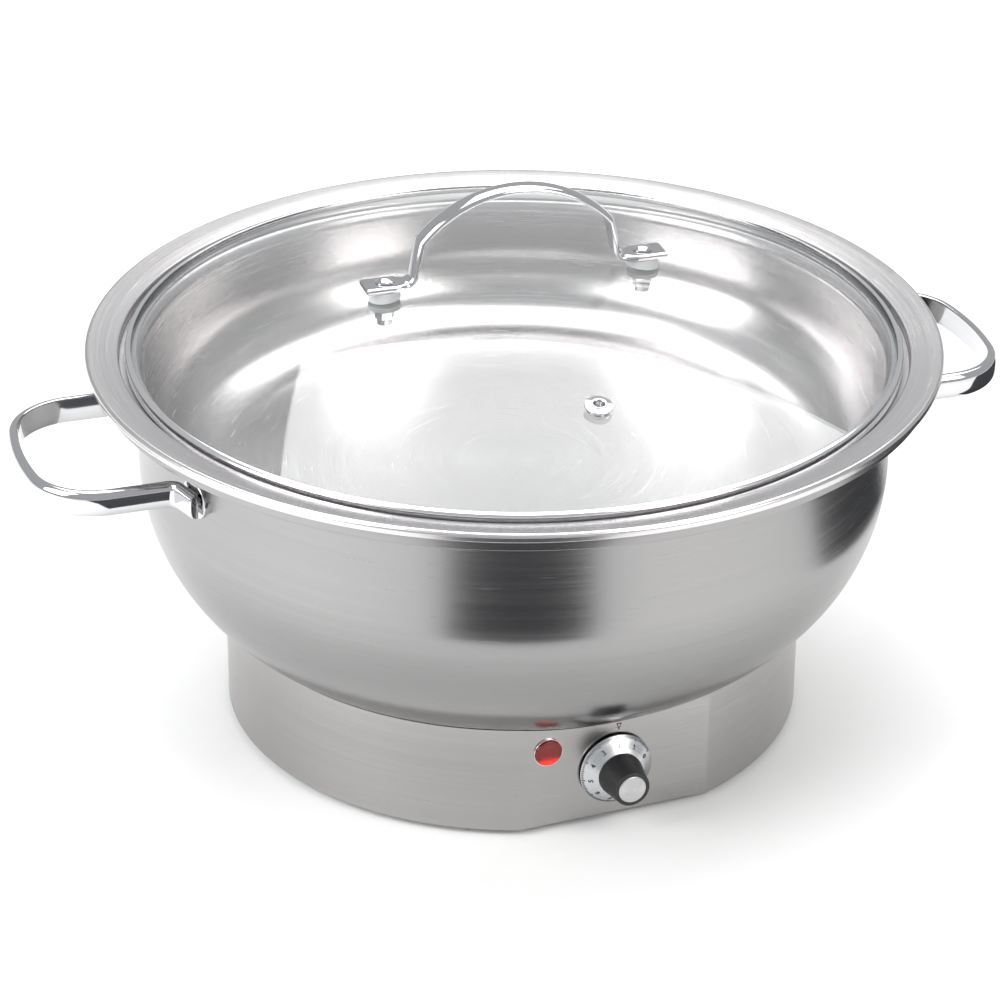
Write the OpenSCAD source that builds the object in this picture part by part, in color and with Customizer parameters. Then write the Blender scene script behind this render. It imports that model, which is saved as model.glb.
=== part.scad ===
// Round electric chafing dish: a glass lid on a food pan, which hangs in a heated water pan on a
// drum-shaped base with a flat control panel. Millimetres, +Z up, +X towards the right-hand handle,
// the control panel faces -Y. The origin is on the table, under the middle of the dish.

/* [Base] */
// Height of the rubber feet below the base shell
foot_h = 3; // [2:0.5:4]
// Radius of the base shell
base_r = 138.5; // [137:0.5:140]
// Sheet thickness of the base shell
base_t = 1; // [0.8:0.1:1.2]
// Distance of the flat control panel from the centre
panel_y = 130.4; // [129.6:0.2:131.2]

/* [Water pan] */
// Radius of the bowl's wall at its widest
bowl_r = 177.2; // [176.8:0.1:177.4]
// Radius of the bowl's rounded lower wall
bowl_round_r = 95; // [94:0.5:96]
// Height of the bowl's underside
bowl_floor_z = 38.3; // [38:0.1:38.6]
// Sheet thickness of both pans
pan_t = 0.8; // [0.6:0.1:0.9]

/* [Food pan] */
// Outer radius of the food pan's flange
flange_r = 200; // [198:0.5:202]
// Inner radius of the food pan's wall
food_r = 172; // [171:0.2:172.2]
// Height of the food pan's floor
food_floor_z = 123; // [110:1:130]
// Radius of the fillet between the food pan's floor and wall
food_fillet_r = 37; // [25:1:40]
// Height of the ledge that carries the lid
ledge_z = 182.5; // [182.3:0.1:182.7]

/* [Lid] */
// Height of the top of the glass at its centre
glass_top_z = 220; // [218:0.5:221]
// Radius of the glass dome
dome_r = 522; // [515:1:530]
// Thickness of the glass
glass_t = 4; // [3:0.5:4]
// Outer radius of the steel band round the glass
band_r = 181.2; // [181:0.1:181.8]
// Turn of the lid about the vertical axis, as it lies on the food pan
lid_turn = -3; // [-10:1:10]
// Distance of the handle's screws from the lid's centre
lid_screw_x = 62.8; // [60:0.2:66]
// Height of the lid handle's top
lid_handle_top_z = 264.5; // [260:0.5:268]
// Distance of the steam vent from the lid's centre
vent_y = 118; // [100:1:130]

/* [Side handles] */
// Distance from the centre to the far side of a handle
handle_reach = 238.5; // [234:0.5:242]
// Outer width of a handle's loop
handle_w = 104; // [96:1:106]
// Turn of the bowl and its handles about the vertical axis, against the front panel
handle_turn = -3.3; // [-5:0.1:5]
// Height of a handle's strap
handle_strap_h = 12.5; // [11:0.5:14]
// Thickness of a handle's strap
handle_strap_t = 4.75; // [4:0.25:5]
// Height of the middle of a handle
handle_z = 156; // [150:0.5:158]

/* [Controls] */
// Height of the dial's axis
dial_z = 27.5; // [26.5:0.5:28]
// Radius of the graduated skirt
skirt_r = 17.6; // [17.4:0.1:18.6]
// Radius of the knob where it meets the skirt
knob_base_r = 10.6; // [10.2:0.1:10.8]
// Radius of the knob's end
knob_end_r = 8.6; // [8:0.1:9]
// Distance of the knob's end from the panel
knob_reach = 21.4; // [21:0.1:24]
// Sideways place of the pilot lamp
lamp_x = -33; // [-34:0.5:-30]
// Height of the pilot lamp
lamp_z = 42.3; // [41:0.1:42.5]
// Radius of the pilot lamp's lens
lens_r = 6.5; // [6:0.1:6.8]

/* [Cord entry] */
// Height of the cord gland's axis
gland_z = 24; // [22:0.5:26]
// Radius of the cord that the gland is made for
cord_r = 3.75; // [3:0.05:4]

/* [Hidden] */
$fn = 64;

// Small overlap that a cut takes past a face
cut = 1;
// Gap kept between two pieces that must not touch
gap = 0.3;

// Base: the shell stands on the feet, and the base plate closes it below a return flange
shell_top_z = 62;
return_w = 11;
return_z = foot_h + 1.5;
plate_z = foot_h + 0.5;
plate_t = 1;
foot_r = 8;
foot_ring_r = 114;
foot_angles = [45, 135, 225, 315];
plate_screw_ring_r = 131;
plate_screw_count = 6;
slot_count = 12;
slot_inner_r = 30;
slot_length = 22;
slot_w = 4;

// Bowl of the water pan: a flat floor, one large arc and a slightly tapered wall
bowl_arc_x = bowl_r - bowl_round_r;
bowl_arc_z = bowl_floor_z + bowl_round_r;
bowl_neck_r = 175.6;
bowl_bend_r = 4.4;
bowl_seat_z = ledge_z - pan_t - 0.6;
bowl_neck_z = bowl_seat_z - bowl_bend_r - pan_t;
seat_wall_r = 187.4;
bowl_flange_z = 185.2;
bead_r = 196.4;
bead_drop = 5.2;
stud_ring_r = 118;
bracket_top_z = 38;
bracket_t = 1.5;
bracket_w = 24;

// Flange, step and ledge of the food pan
flange_inner_z = 187.2;
flange_rim_z = 189.5;
flange_edge_r = 1.8;
skirt_low_z = 185.8;
ledge_r = 184.4;
ledge_bend_r = 6;

// Lid: both faces of the glass are spheres with one centre
dome_z = glass_top_z - dome_r;
glass_edge_r = 180;
lid_foot_t = 3.3;
lid_foot_z = 220.6;
lid_foot_out_x = 73;
lid_foot_w = 14;
lid_arch_w = 10.5;
lid_strap_t = 3;
lid_hole_r = 4;
gasket_r = 7.5;
vent_tilt = asin(vent_y / dome_r);

// Side handles
lug_gap = 1.2;
tab_mid_y = handle_w / 2 + 6.5;
tab_r = 184 - handle_strap_t / 2;
fold_r = 5;
corner_r = 33;

// Heating: everything hangs below the floor of the water pan
spreader_r = 78;
spreader_t = 3;
spreader_z = bowl_floor_z - spreader_t;
element_ring_r = 58;
element_r = 4;
element_z = spreader_z - element_r;
element_gap = 20;
element_bend_r = 10;
cold_end_x = (element_ring_r + element_bend_r) * sin(element_gap) - element_bend_r;
cold_start_y = (element_ring_r + element_bend_r) * cos(element_gap);
cold_end_y = 88;
bar_t = 2;
bar_z = element_z - element_r - bar_t;
clamp_nut_h = 5;
shield_r = 88;
shield_z = 14.5;
shield_t = 0.8;
bulb_y = 30;
bulb_r = 3;
bulb_half = 30;
cutout_y = -30;

// Thermostat and dial
thermostat_w = 34;
thermostat_h = 24;
thermostat_d = 22;
thermostat_front_y = -panel_y + base_t;
thermostat_back_y = thermostat_front_y + thermostat_d;
thermostat_screw_x = 12.5;
shaft_r = 3;
shaft_play = 0.05;
skirt_back = 1.2;
skirt_edge = 0.7;
skirt_front = 7;
skirt_flat_r = 11.2;
skirt_t = 1.2;
skirt_hub_r = 6;
knob_bore_depth = 11;
cap_r = 6.65;

// Terminal block and wires
block_x = 48;
block_y = 100;
block_z = 6;
block_size = [34, 16, 14];
block_pitch = 11;
block_wire_z = 14;
wire_r = 1.2;
wire_sides = 8;
earth_x = 68;
earth_y = 82;

// Routes of the wires and of the capillary tube, by hand
live_block_to_cutout = [
    [48, 91.8, 14], [48, 86, 15], [46, 76, 19], [40, 56, 20], [32, 30, 20], [30, 0, 20], [22, -20, 19],
    [10, -29, 18], [3, -30, 21.5]
];
live_cutout_to_thermostat = [
    [-3, -30, 21.5], [-3, -35, 19], [0, -45, 18], [5, -62, 18.5], [8, -80, 21], [8, -93, 24],
    [8, -99.2, 24]
];
live_thermostat_to_element = [
    [-8, -99.2, 24], [-9, -93, 22], [-18, -82, 18.5], [-40, -70, 18.5], [-68, -40, 18.5],
    [-78, 0, 18.5], [-70, 45, 18.5], [-48, 82, 20], [-28, 106, 26], [-17, 114, 31], [-13.2, 110, 31.3],
    [-13.2, 104.2, 31.3]
];
neutral_block_to_element = [
    [37, 91.8, 14], [37, 87, 15], [34, 85, 19], [29, 90, 24], [25, 101, 29], [21, 111, 31.3],
    [16, 113.5, 31.3], [13.3, 109, 31.3], [13.3, 104.2, 31.3]
];
earth_block_to_stud = [
    [59, 91.8, 14], [58.5, 88, 14], [57.5, 84.5, 12.5], [58.5, 82.3, 10.5], [61, 82, 9], [64.4, 82, 8.9]
];
lamp_to_thermostat = [
    [-31, -113, 39.4], [-31, -109, 39], [-29, -106, 36], [-25, -108, 31], [-21, -112, 28],
    [-17.2, -113, 28]
];
lamp_to_block = [
    [-35, -113, 39.4], [-36, -108, 39], [-44, -98, 32], [-64, -84, 19], [-88, -58, 13], [-104, -20, 13],
    [-105, 20, 13], [-90, 58, 13], [-62, 86, 13], [-35, 102, 13], [0, 110, 13], [18, 106, 13.5],
    [30.8, 102, 14]
];
capillary_route = [
    [-30.2, 30, 32.3], [-36, 29.5, 32.2], [-42, 24, 28], [-44, 14, 21.5], [-43, 0, 21], [-40, -20, 21],
    [-31, -48, 21.5], [-19, -78, 26], [-12.5, -96, 30], [-12, -107, 30]
];

// Points of an arc about [x, y] from angle a to angle b
function arc(x, y, r, a, b, steps) =
    [for (i = [0 : steps]) let (t = a + (b - a) * i / steps) [x + r * cos(t), y + r * sin(t)]];

// Unit vector along v
function unit(v) = v / norm(v);

// Direction of a path at point i
function path_dir(p, i) = unit(p[min(i + 1, len(p) - 1)] - p[max(i - 1, 0)]);

// A path moved sideways by d, to the left of its direction
function side_path(p, d) =
    [for (i = [0 : len(p) - 1]) let (t = path_dir(p, i)) p[i] + d * [-t[1], t[0]]];

// Points reversed
function reversed(p) = [for (i = [len(p) - 1 : -1 : 0]) p[i]];

// One point of a smooth curve through four points
function spline_point(a, b, c, d, t) =
    0.5 * (2 * b + (c - a) * t + (2 * a - 5 * b + 4 * c - d) * t * t
        + (3 * b - a - 3 * c + d) * t * t * t);

// A smooth curve through hand-placed points
function smooth_path(p, n) = concat(
    [for (i = [0 : len(p) - 2], k = [0 : n - 1])
        spline_point(p[max(i - 1, 0)], p[i], p[i + 1], p[min(i + 2, len(p) - 1)], k / n)],
    [p[len(p) - 1]]);

// A round wire swept along a smooth curve through the points
module wire(points, r) {
    path = smooth_path(points, 3);
    rings = len(path);
    skin = [for (i = [0 : rings - 1], k = [0 : wire_sides - 1])
        let (t = path_dir(path, i), u = unit(cross(t, [0, 0, 1])), v = cross(u, t),
            angle = 360 * k / wire_sides)
        path[i] + r * (u * cos(angle) + v * sin(angle))];
    sides = [for (i = [0 : rings - 2], k = [0 : wire_sides - 1])
        let (next = (k + 1) % wire_sides, low = i * wire_sides, high = low + wire_sides)
        each [[low + k, low + next, high + next], [low + k, high + next, high + k]]];
    first = [for (k = [wire_sides - 1 : -1 : 0]) k];
    last = [for (k = [0 : wire_sides - 1]) (rings - 1) * wire_sides + k];
    polyhedron(skin, concat(sides, [first, last]), convexity = 6);
}

// A flat strap that follows a path
module strap(path, thickness) {
    polygon(concat(side_path(path, thickness / 2), reversed(side_path(path, -thickness / 2))));
}

// A hexagonal nut with its bore, its underside at z = 0
module nut(across_flats, height, bore_r) {
    difference() {
        cylinder(r = across_flats / 2 / cos(30), h = height, $fn = 6);
        translate([0, 0, -cut]) cylinder(r = bore_r, h = height + 2 * cut);
    }
}

// A screw with a low round head below z = 0 and its shank above
module screw(head_r, head_h, shank_r, shank_h) {
    translate([0, 0, -head_h]) cylinder(r = head_r, h = head_h);
    cylinder(r = shank_r, h = shank_h);
}

// Places its children on a ring about the vertical axis
module on_ring(r, angles) {
    for (a = angles) rotate([0, 0, a]) translate([r, 0, 0]) children();
}

// Outline of the base, moved inwards: a circle with a flat front
module base_outline(inset) {
    difference() {
        circle(r = base_r - inset, $fn = 180);
        translate([-base_r, -2 * base_r + inset - panel_y]) square([2 * base_r, 2 * base_r]);
    }
}

// Turns its children so that +Z points out of the panel
module on_panel(x, z) {
    translate([x, -panel_y, z]) rotate([90, 0, 0]) children();
}

// The closed shape of the bowl's outside, grown by extra
module bowl_body(extra) {
    rotate_extrude($fn = 180) polygon(concat(
        [[0, bowl_floor_z - extra]],
        arc(bowl_arc_x, bowl_arc_z, bowl_round_r + extra, -90, 0, 48),
        [[bowl_r + extra, 170], [0, 170]]));
}

module base_shell() {
    color("silver") difference() {
        union() {
            translate([0, 0, foot_h]) linear_extrude(shell_top_z - foot_h) difference() {
                base_outline(0);
                base_outline(base_t);
            }
            translate([0, 0, return_z]) linear_extrude(base_t) difference() {
                base_outline(base_t / 2);
                base_outline(return_w);
            }
        }
        bowl_body(gap);
        on_panel(lamp_x, lamp_z) translate([0, 0, -10]) cylinder(r = 5.3, h = 20);
        on_panel(0, dial_z) translate([0, 0, -10]) cylinder(r = 4.2, h = 20);
        for (x = [-1, 1]) on_panel(x * thermostat_screw_x, dial_z)
            translate([0, 0, -10]) cylinder(r = 1.7, h = 20);
        on_ring(plate_screw_ring_r, [for (i = [0 : plate_screw_count - 1]) i * 360 / plate_screw_count])
            cylinder(r = 1.6, h = 10);
        translate([0, base_r - 10, gland_z]) rotate([-90, 0, 0]) cylinder(r = 8.1, h = 20);
    }
}

module base_plate() {
    color("gainsboro") translate([0, 0, plate_z]) difference() {
        linear_extrude(plate_t) base_outline(base_t + 0.4);
        translate([0, 0, -cut]) {
            on_ring(foot_ring_r, foot_angles) cylinder(r = 2.2, h = 5);
            on_ring(plate_screw_ring_r,
                [for (i = [0 : plate_screw_count - 1]) i * 360 / plate_screw_count])
                cylinder(r = 1.6, h = 5);
            on_ring(slot_inner_r, [for (i = [0 : slot_count - 1]) (i + 0.5) * 360 / slot_count]) {
                translate([0, -slot_w / 2, 0]) cube([slot_length, slot_w, 5]);
                cylinder(r = slot_w / 2, h = 5);
                translate([slot_length, 0, 0]) cylinder(r = slot_w / 2, h = 5);
            }
            for (x = [-1, 1]) translate([block_x + x * block_pitch / 2, block_y, 0])
                cylinder(r = 1.6, h = 5);
            translate([earth_x, earth_y, 0]) cylinder(r = 2.1, h = 5);
        }
    }
}

module base_plate_screws() {
    color("dimgray")
        on_ring(plate_screw_ring_r, [for (i = [0 : plate_screw_count - 1]) i * 360 / plate_screw_count])
            translate([0, 0, plate_z]) screw(2.8, 1.3, 1.5, 5);
}

module rubber_feet() {
    color("black") on_ring(foot_ring_r, foot_angles) difference() {
        cylinder(r = foot_r, h = plate_z);
        translate([0, 0, -cut]) cylinder(r = 4.2, h = 2 + cut);
        cylinder(r = 2.2, h = plate_z + cut);
    }
}

module foot_screws() {
    color("dimgray") on_ring(foot_ring_r, foot_angles) translate([0, 0, 2]) screw(3.6, 1.4, 2, 7.5);
}

module foot_nuts() {
    color("dimgray") on_ring(foot_ring_r, foot_angles)
        translate([0, 0, plate_z + plate_t]) nut(7, 3.2, 2.05);
}

module pan_brackets() {
    color("gainsboro") difference() {
        on_ring(0, foot_angles) {
            translate([106, -bracket_w / 2, bracket_top_z - bracket_t])
                cube([40, bracket_w, bracket_t]);
            translate([base_r - base_t - bracket_t - 1, -bracket_w / 2, 20])
                cube([10, bracket_w, bracket_top_z - 20]);
        }
        difference() {
            cylinder(r = base_r + 20, h = 80, $fn = 180);
            translate([0, 0, -cut]) cylinder(r = base_r - base_t, h = 90, $fn = 180);
        }
        on_ring(stud_ring_r, foot_angles) cylinder(r = 2.8, h = 60);
    }
}

module water_pan() {
    inner_arc_r = bowl_round_r - pan_t;
    color("silver") rotate_extrude($fn = 180) polygon(concat(
        [[0, bowl_floor_z]],
        arc(bowl_arc_x, bowl_arc_z, bowl_round_r, -90, 0, 40),
        arc(bowl_neck_r + bowl_bend_r, bowl_neck_z, bowl_bend_r, 180, 90, 6),
        arc(seat_wall_r - pan_t / 2, bowl_seat_z - pan_t / 2, 1.2, -90, 0, 4),
        [[seat_wall_r + pan_t, bowl_flange_z - pan_t], [bead_r - 2 * pan_t, bowl_flange_z - pan_t]],
        [[bead_r - pan_t, bowl_flange_z - 2 * pan_t], [bead_r - pan_t, bowl_flange_z - bead_drop]],
        [[bead_r, bowl_flange_z - bead_drop]],
        arc(bead_r - 1.6, bowl_flange_z - 1.6, 1.6, 0, 90, 6),
        [[seat_wall_r, bowl_flange_z], [seat_wall_r, bowl_seat_z]],
        arc(bowl_neck_r + bowl_bend_r, bowl_neck_z, bowl_bend_r + pan_t, 90, 180, 6),
        arc(bowl_arc_x, bowl_arc_z, inner_arc_r, 0, -90, 40),
        [[0, bowl_floor_z + pan_t]]));
}

module pan_studs() {
    color("gainsboro") difference() {
        union() {
            on_ring(stud_ring_r, foot_angles) {
                translate([0, 0, 27]) cylinder(r = 2.5, h = 23);
                translate([0, 0, bracket_top_z]) cylinder(r = 4.5, h = 14);
            }
            translate([0, 0, bar_z - clamp_nut_h - 2.5]) cylinder(r = 3, h = 40);
        }
        bowl_body(0);
    }
}

module pan_nuts() {
    color("gainsboro") on_ring(stud_ring_r, foot_angles)
        translate([0, 0, bracket_top_z - bracket_t - 4]) nut(8, 4, 2.55);
}

// Two lugs of the right-hand handle: a rounded pad on the wall, and the post that carries the tab
module handle_lugs() {
    pad_r = tab_r - handle_strap_t / 2 - lug_gap;
    for (side = [-1, 1]) rotate([0, 0, side * asin(tab_mid_y / tab_r)]) difference() {
        union() {
            translate([0, 0, handle_z]) rotate([0, 90, 0]) linear_extrude(pad_r) intersection() {
                circle(r = 9.3, $fn = 64);
                square([16, 30], center = true);
            }
            translate([0, 0, handle_z]) rotate([0, 90, 0])
                cylinder(r = 5, h = tab_r - handle_strap_t / 2);
        }
        translate([0, 0, bowl_arc_z])
            cylinder(r1 = bowl_r, r2 = bowl_neck_r, h = bowl_neck_z - bowl_arc_z, $fn = 360);
    }
}

module handle_lugs_right() {
    color("silver") rotate([0, 0, handle_turn]) handle_lugs();
}

module handle_lugs_left() {
    color("silver") rotate([0, 0, handle_turn]) mirror([1, 0, 0]) handle_lugs();
}

// Half of the right-hand handle's centre line, from its tab to the middle of its far side
function handle_half() =
    let (lean = asin(tab_mid_y / tab_r), d = [sin(lean), -cos(lean)],
        start_y = handle_w / 2 - handle_strap_t / 2 + fold_r - fold_r * sin(lean),
        start = [tab_r * cos(lean), tab_mid_y] + d * ((tab_mid_y - start_y) / cos(lean)),
        centre = start + fold_r * [cos(lean), sin(lean)],
        arm_y = centre[1] - fold_r,
        turn_r = corner_r - handle_strap_t / 2,
        far_x = handle_reach - handle_strap_t / 2)
    concat(
        [[tab_r * cos(lean), tab_mid_y] - 6.8 * d],
        arc(centre[0], centre[1], fold_r, 180 + lean, 270, 8),
        arc(far_x - turn_r, arm_y - turn_r, turn_r, 90, 12, 12),
        [[far_x, 0]]);

module side_handle() {
    half = handle_half();
    other = reversed([for (p = half) if (p[1] > 0.01) [p[0], -p[1]]]);
    translate([0, 0, handle_z - handle_strap_h / 2]) linear_extrude(handle_strap_h)
        strap(concat(half, other), handle_strap_t);
}

module side_handle_right() {
    color("gainsboro") rotate([0, 0, handle_turn]) side_handle();
}

module side_handle_left() {
    color("gainsboro") rotate([0, 0, handle_turn]) mirror([1, 0, 0]) side_handle();
}

module heat_spreader() {
    color("lightgray") translate([0, 0, spreader_z]) difference() {
        cylinder(r = spreader_r, h = spreader_t, $fn = 120);
        translate([0, 0, -cut]) cylinder(r = 3.3, h = spreader_t + 2 * cut);
    }
}

module heating_element() {
    bend_turn = 90 - element_gap;
    color("dimgray") translate([0, 0, element_z]) {
        rotate([0, 0, 90 + element_gap]) rotate_extrude(angle = 360 - 2 * element_gap, $fn = 120)
            translate([element_ring_r, 0]) circle(r = element_r);
        for (side = [0, 1]) mirror([side, 0, 0]) {
            translate([cold_end_x + element_bend_r, cold_start_y, 0]) rotate([0, 0, 180])
                rotate_extrude(angle = bend_turn, $fn = 64)
                    translate([element_bend_r, 0]) circle(r = element_r);
            translate([cold_end_x, cold_start_y, 0]) rotate([-90, 0, 0])
                cylinder(r = element_r, h = cold_end_y - cold_start_y);
        }
    }
}

module element_terminals() {
    color("white") for (side = [-1, 1])
        translate([side * cold_end_x, cold_end_y, element_z]) rotate([-90, 0, 0]) {
            cylinder(r = 3, h = 6);
            cylinder(r = 1.5, h = 16);
        }
}

module element_clamp_bar() {
    color("gainsboro") translate([0, 0, bar_z]) difference() {
        translate([-70, -8, 0]) cube([140, 16, bar_t]);
        translate([0, 0, -cut]) cylinder(r = 3.3, h = bar_t + 2 * cut);
    }
}

module element_clamp_nut() {
    color("gainsboro") translate([0, 0, bar_z - clamp_nut_h]) nut(10, clamp_nut_h, 3.05);
}

module heat_shield() {
    color("lightgray") translate([0, 0, shield_z]) difference() {
        cylinder(r = shield_r, h = shield_t, $fn = 120);
        on_ring(70, [90, 210, 330]) translate([0, 0, -cut]) cylinder(r = 2.1, h = 4);
    }
}

module heat_shield_spacers() {
    color("gainsboro") on_ring(70, [90, 210, 330]) {
        translate([0, 0, plate_z + plate_t]) cylinder(r = 4, h = shield_z - plate_z - plate_t);
        translate([0, 0, shield_z - cut]) cylinder(r = 2, h = 3);
    }
}

module thermostat_body() {
    color("dimgray") difference() {
        union() {
            translate([-thermostat_w / 2, thermostat_front_y, dial_z - thermostat_h / 2])
                cube([thermostat_w, thermostat_d, thermostat_h]);
            for (x = [-8, 8]) translate([x - 3.15, thermostat_back_y - cut, 23.6])
                cube([6.3, 9, 0.8]);
        }
        translate([0, thermostat_front_y - cut, dial_z]) rotate([-90, 0, 0])
            cylinder(r = shaft_r + shaft_play, h = 17);
        for (x = [-1, 1]) translate([x * thermostat_screw_x, thermostat_front_y - cut, dial_z])
            rotate([-90, 0, 0]) cylinder(r = 1.55, h = 9);
    }
}

module thermostat_screws() {
    color("dimgray") for (x = [-1, 1]) translate([x * thermostat_screw_x, -panel_y, dial_z])
        rotate([-90, 0, 0]) screw(2.9, 1.3, 1.5, 7);
}

module thermostat_bulb() {
    color("peru") translate([-bulb_half, bulb_y, spreader_z - bulb_r]) rotate([0, 90, 0])
        cylinder(r = bulb_r, h = 2 * bulb_half);
}

module bulb_clip() {
    color("gainsboro") difference() {
        translate([-5, bulb_y - 5, spreader_z - 7]) cube([10, 10, 7]);
        translate([-10, bulb_y, spreader_z - bulb_r]) rotate([0, 90, 0])
            cylinder(r = bulb_r + shaft_play, h = 20);
    }
}

module capillary_tube() {
    color("peru") wire(capillary_route, 1);
}

module thermal_cutout() {
    color("black") translate([0, cutout_y, spreader_z - 9]) {
        cylinder(r = 8, h = 9);
        for (x = [-3.4, 2.6]) translate([x, -3.15, -4.3]) cube([0.8, 6.3, 5]);
    }
}

module lamp_lens() {
    color("red") on_panel(lamp_x, lamp_z) {
        rotate_extrude() polygon(concat(
            [[0, -4], [4.4, -4], [4.4, 0.3], [lens_r, 0.3]],
            arc(lens_r - 1, 0.6, 1, 0, 60, 4),
            [[3.5, 1.9], [0, 2.1]]));
    }
}

module lamp_bezel() {
    color("silver") on_panel(lamp_x, lamp_z) difference() {
        cylinder(r = lens_r + 0.5, h = 0.8);
        translate([0, 0, 0.3]) cylinder(r = lens_r + 0.1, h = 2);
        translate([0, 0, -cut]) cylinder(r = 4.5, h = 4);
    }
}

module lamp_body() {
    color("ivory") on_panel(lamp_x, lamp_z) {
        difference() {
            translate([0, 0, -10.5]) cylinder(r = 5, h = 10.5);
            translate([0, 0, -4.05]) cylinder(r = 4.45, h = 5);
        }
        for (x = [-2, 2]) translate([x - 0.4, -4.4, -17.2]) cube([0.8, 3, 7.2]);
    }
}

module lamp_retainer() {
    color("gainsboro") on_panel(lamp_x, lamp_z) translate([0, 0, -base_t - 0.8]) difference() {
        cylinder(r = 6.4, h = 0.8);
        translate([0, 0, -cut]) cylinder(r = 5.05, h = 3);
    }
}

module terminal_block() {
    color("ivory") difference() {
        translate([block_x - block_size[0] / 2, block_y - block_size[1] / 2, plate_z + plate_t])
            cube([block_size[0], block_size[1], block_z + block_size[2] - plate_z - plate_t]);
        for (i = [-1, 0, 1]) translate([block_x + i * block_pitch, block_y, block_wire_z + 2.5])
            cylinder(r = 2.2, h = 10);
        for (x = [-1, 1]) translate([block_x + x * block_pitch / 2, block_y, 0])
            cylinder(r = 1.6, h = 30);
    }
}

module terminal_block_screws() {
    color("gainsboro") {
        for (i = [-1, 0, 1]) translate([block_x + i * block_pitch, block_y, block_wire_z + 2.5])
            cylinder(r = 2.1, h = 2.4);
        for (x = [-1, 1]) translate([block_x + x * block_pitch / 2, block_y, plate_z])
            screw(2.6, 1.2, 1.5, 12);
    }
}

module earth_stud() {
    color("goldenrod") translate([earth_x, earth_y, plate_z]) screw(3.4, 1.3, 2, 10);
}

module earth_nut() {
    color("goldenrod") translate([earth_x, earth_y, plate_z + plate_t]) rotate([0, 0, 30])
        translate([0, 0, 2.5]) nut(7, 3.2, 2.05);
}

// Turns its children so that +Z points out of the back of the base, with z = 0 on the shell
module on_back() {
    translate([0, base_r, gland_z]) rotate([-90, 0, 0]) children();
}

module gland_body() {
    color("black") on_back() difference() {
        union() {
            translate([0, 0, -9]) cylinder(r = 7.9, h = 19);
            translate([0, 0, 0.2]) cylinder(r = 9.5 / cos(30), h = 4.5, $fn = 6);
        }
        translate([0, 0, -10]) cylinder(r = 5, h = 10);
        translate([0, 0, 0]) cylinder(r = 6.6, h = 12);
    }
}

module gland_seal() {
    color("dimgray") on_back() difference() {
        cylinder(r = 6.5, h = 12);
        translate([0, 0, -cut]) cylinder(r = cord_r + 0.15, h = 14);
    }
}

module gland_dome_nut() {
    color("black") on_back() rotate_extrude() polygon(concat(
        [[8, 5], [10, 5], [10, 12]],
        arc(6, 12, 4, 0, 70, 6),
        [[4.6, 16], [4.6, 12.2], [8, 12.2]]));
}

module gland_locknut() {
    color("black") on_back() translate([0, 0, -base_t - 4.6]) difference() {
        cylinder(r = 9.5 / cos(30), h = 4, $fn = 6);
        translate([0, 0, -cut]) cylinder(r = 7.95, h = 6);
    }
}

module live_wires() {
    color("saddlebrown") {
        wire(live_block_to_cutout, wire_r);
        wire(live_cutout_to_thermostat, wire_r);
        wire(live_thermostat_to_element, wire_r);
    }
}

module neutral_wires() {
    color("royalblue") wire(neutral_block_to_element, wire_r);
}

module earth_wire() {
    color("limegreen") wire(earth_block_to_stud, wire_r);
}

module lamp_wires() {
    color("royalblue") {
        wire(lamp_to_thermostat, 0.9);
        wire(lamp_to_block, 0.9);
    }
}

module dial_skirt() {
    color("silver") on_panel(0, dial_z) rotate_extrude($fn = 120) polygon([
        [shaft_r, 2], [skirt_hub_r, 2], [skirt_hub_r, skirt_front - skirt_t],
        [skirt_flat_r - 0.5, skirt_front - skirt_t], [skirt_r - skirt_t, skirt_back], [skirt_r, skirt_back],
        [skirt_r, skirt_back + skirt_edge], [skirt_flat_r, skirt_front], [shaft_r, skirt_front]
    ]);
}

module dial_knob() {
    color("black") on_panel(0, dial_z) difference() {
        rotate_extrude($fn = 96) polygon(concat(
            [[0, skirt_front], [knob_base_r, skirt_front], [knob_base_r, skirt_front + 1.2]],
            [[knob_end_r + 0.3, knob_reach - 3]],
            arc(knob_end_r - 0.7, knob_reach - 0.7, 0.7, 0, 90, 5),
            [[0, knob_reach]]));
        translate([0, 0, knob_reach - 0.8]) cylinder(r = cap_r + 0.05, h = 3);
        translate([0, 0, skirt_front - cut]) cylinder(r = shaft_r, h = knob_bore_depth + cut);
        translate([0, 0, skirt_front + 5]) rotate([0, 90, 0]) cylinder(r = 1.5, h = 30);
    }
}

module dial_cap() {
    color("gainsboro") on_panel(0, dial_z) translate([0, 0, knob_reach - 0.8])
        cylinder(r = cap_r, h = 0.9, $fn = 96);
}

module dial_grub_screw() {
    color("dimgray") on_panel(0, dial_z) translate([shaft_r, 0, skirt_front + 5])
        rotate([0, 90, 0]) cylinder(r = 1.45, h = 4);
}

module thermostat_shaft() {
    color("goldenrod") on_panel(0, dial_z) translate([0, 0, -base_t - 14])
        cylinder(r = shaft_r, h = base_t + 14 + skirt_front + knob_bore_depth - 0.3);
}

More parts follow.
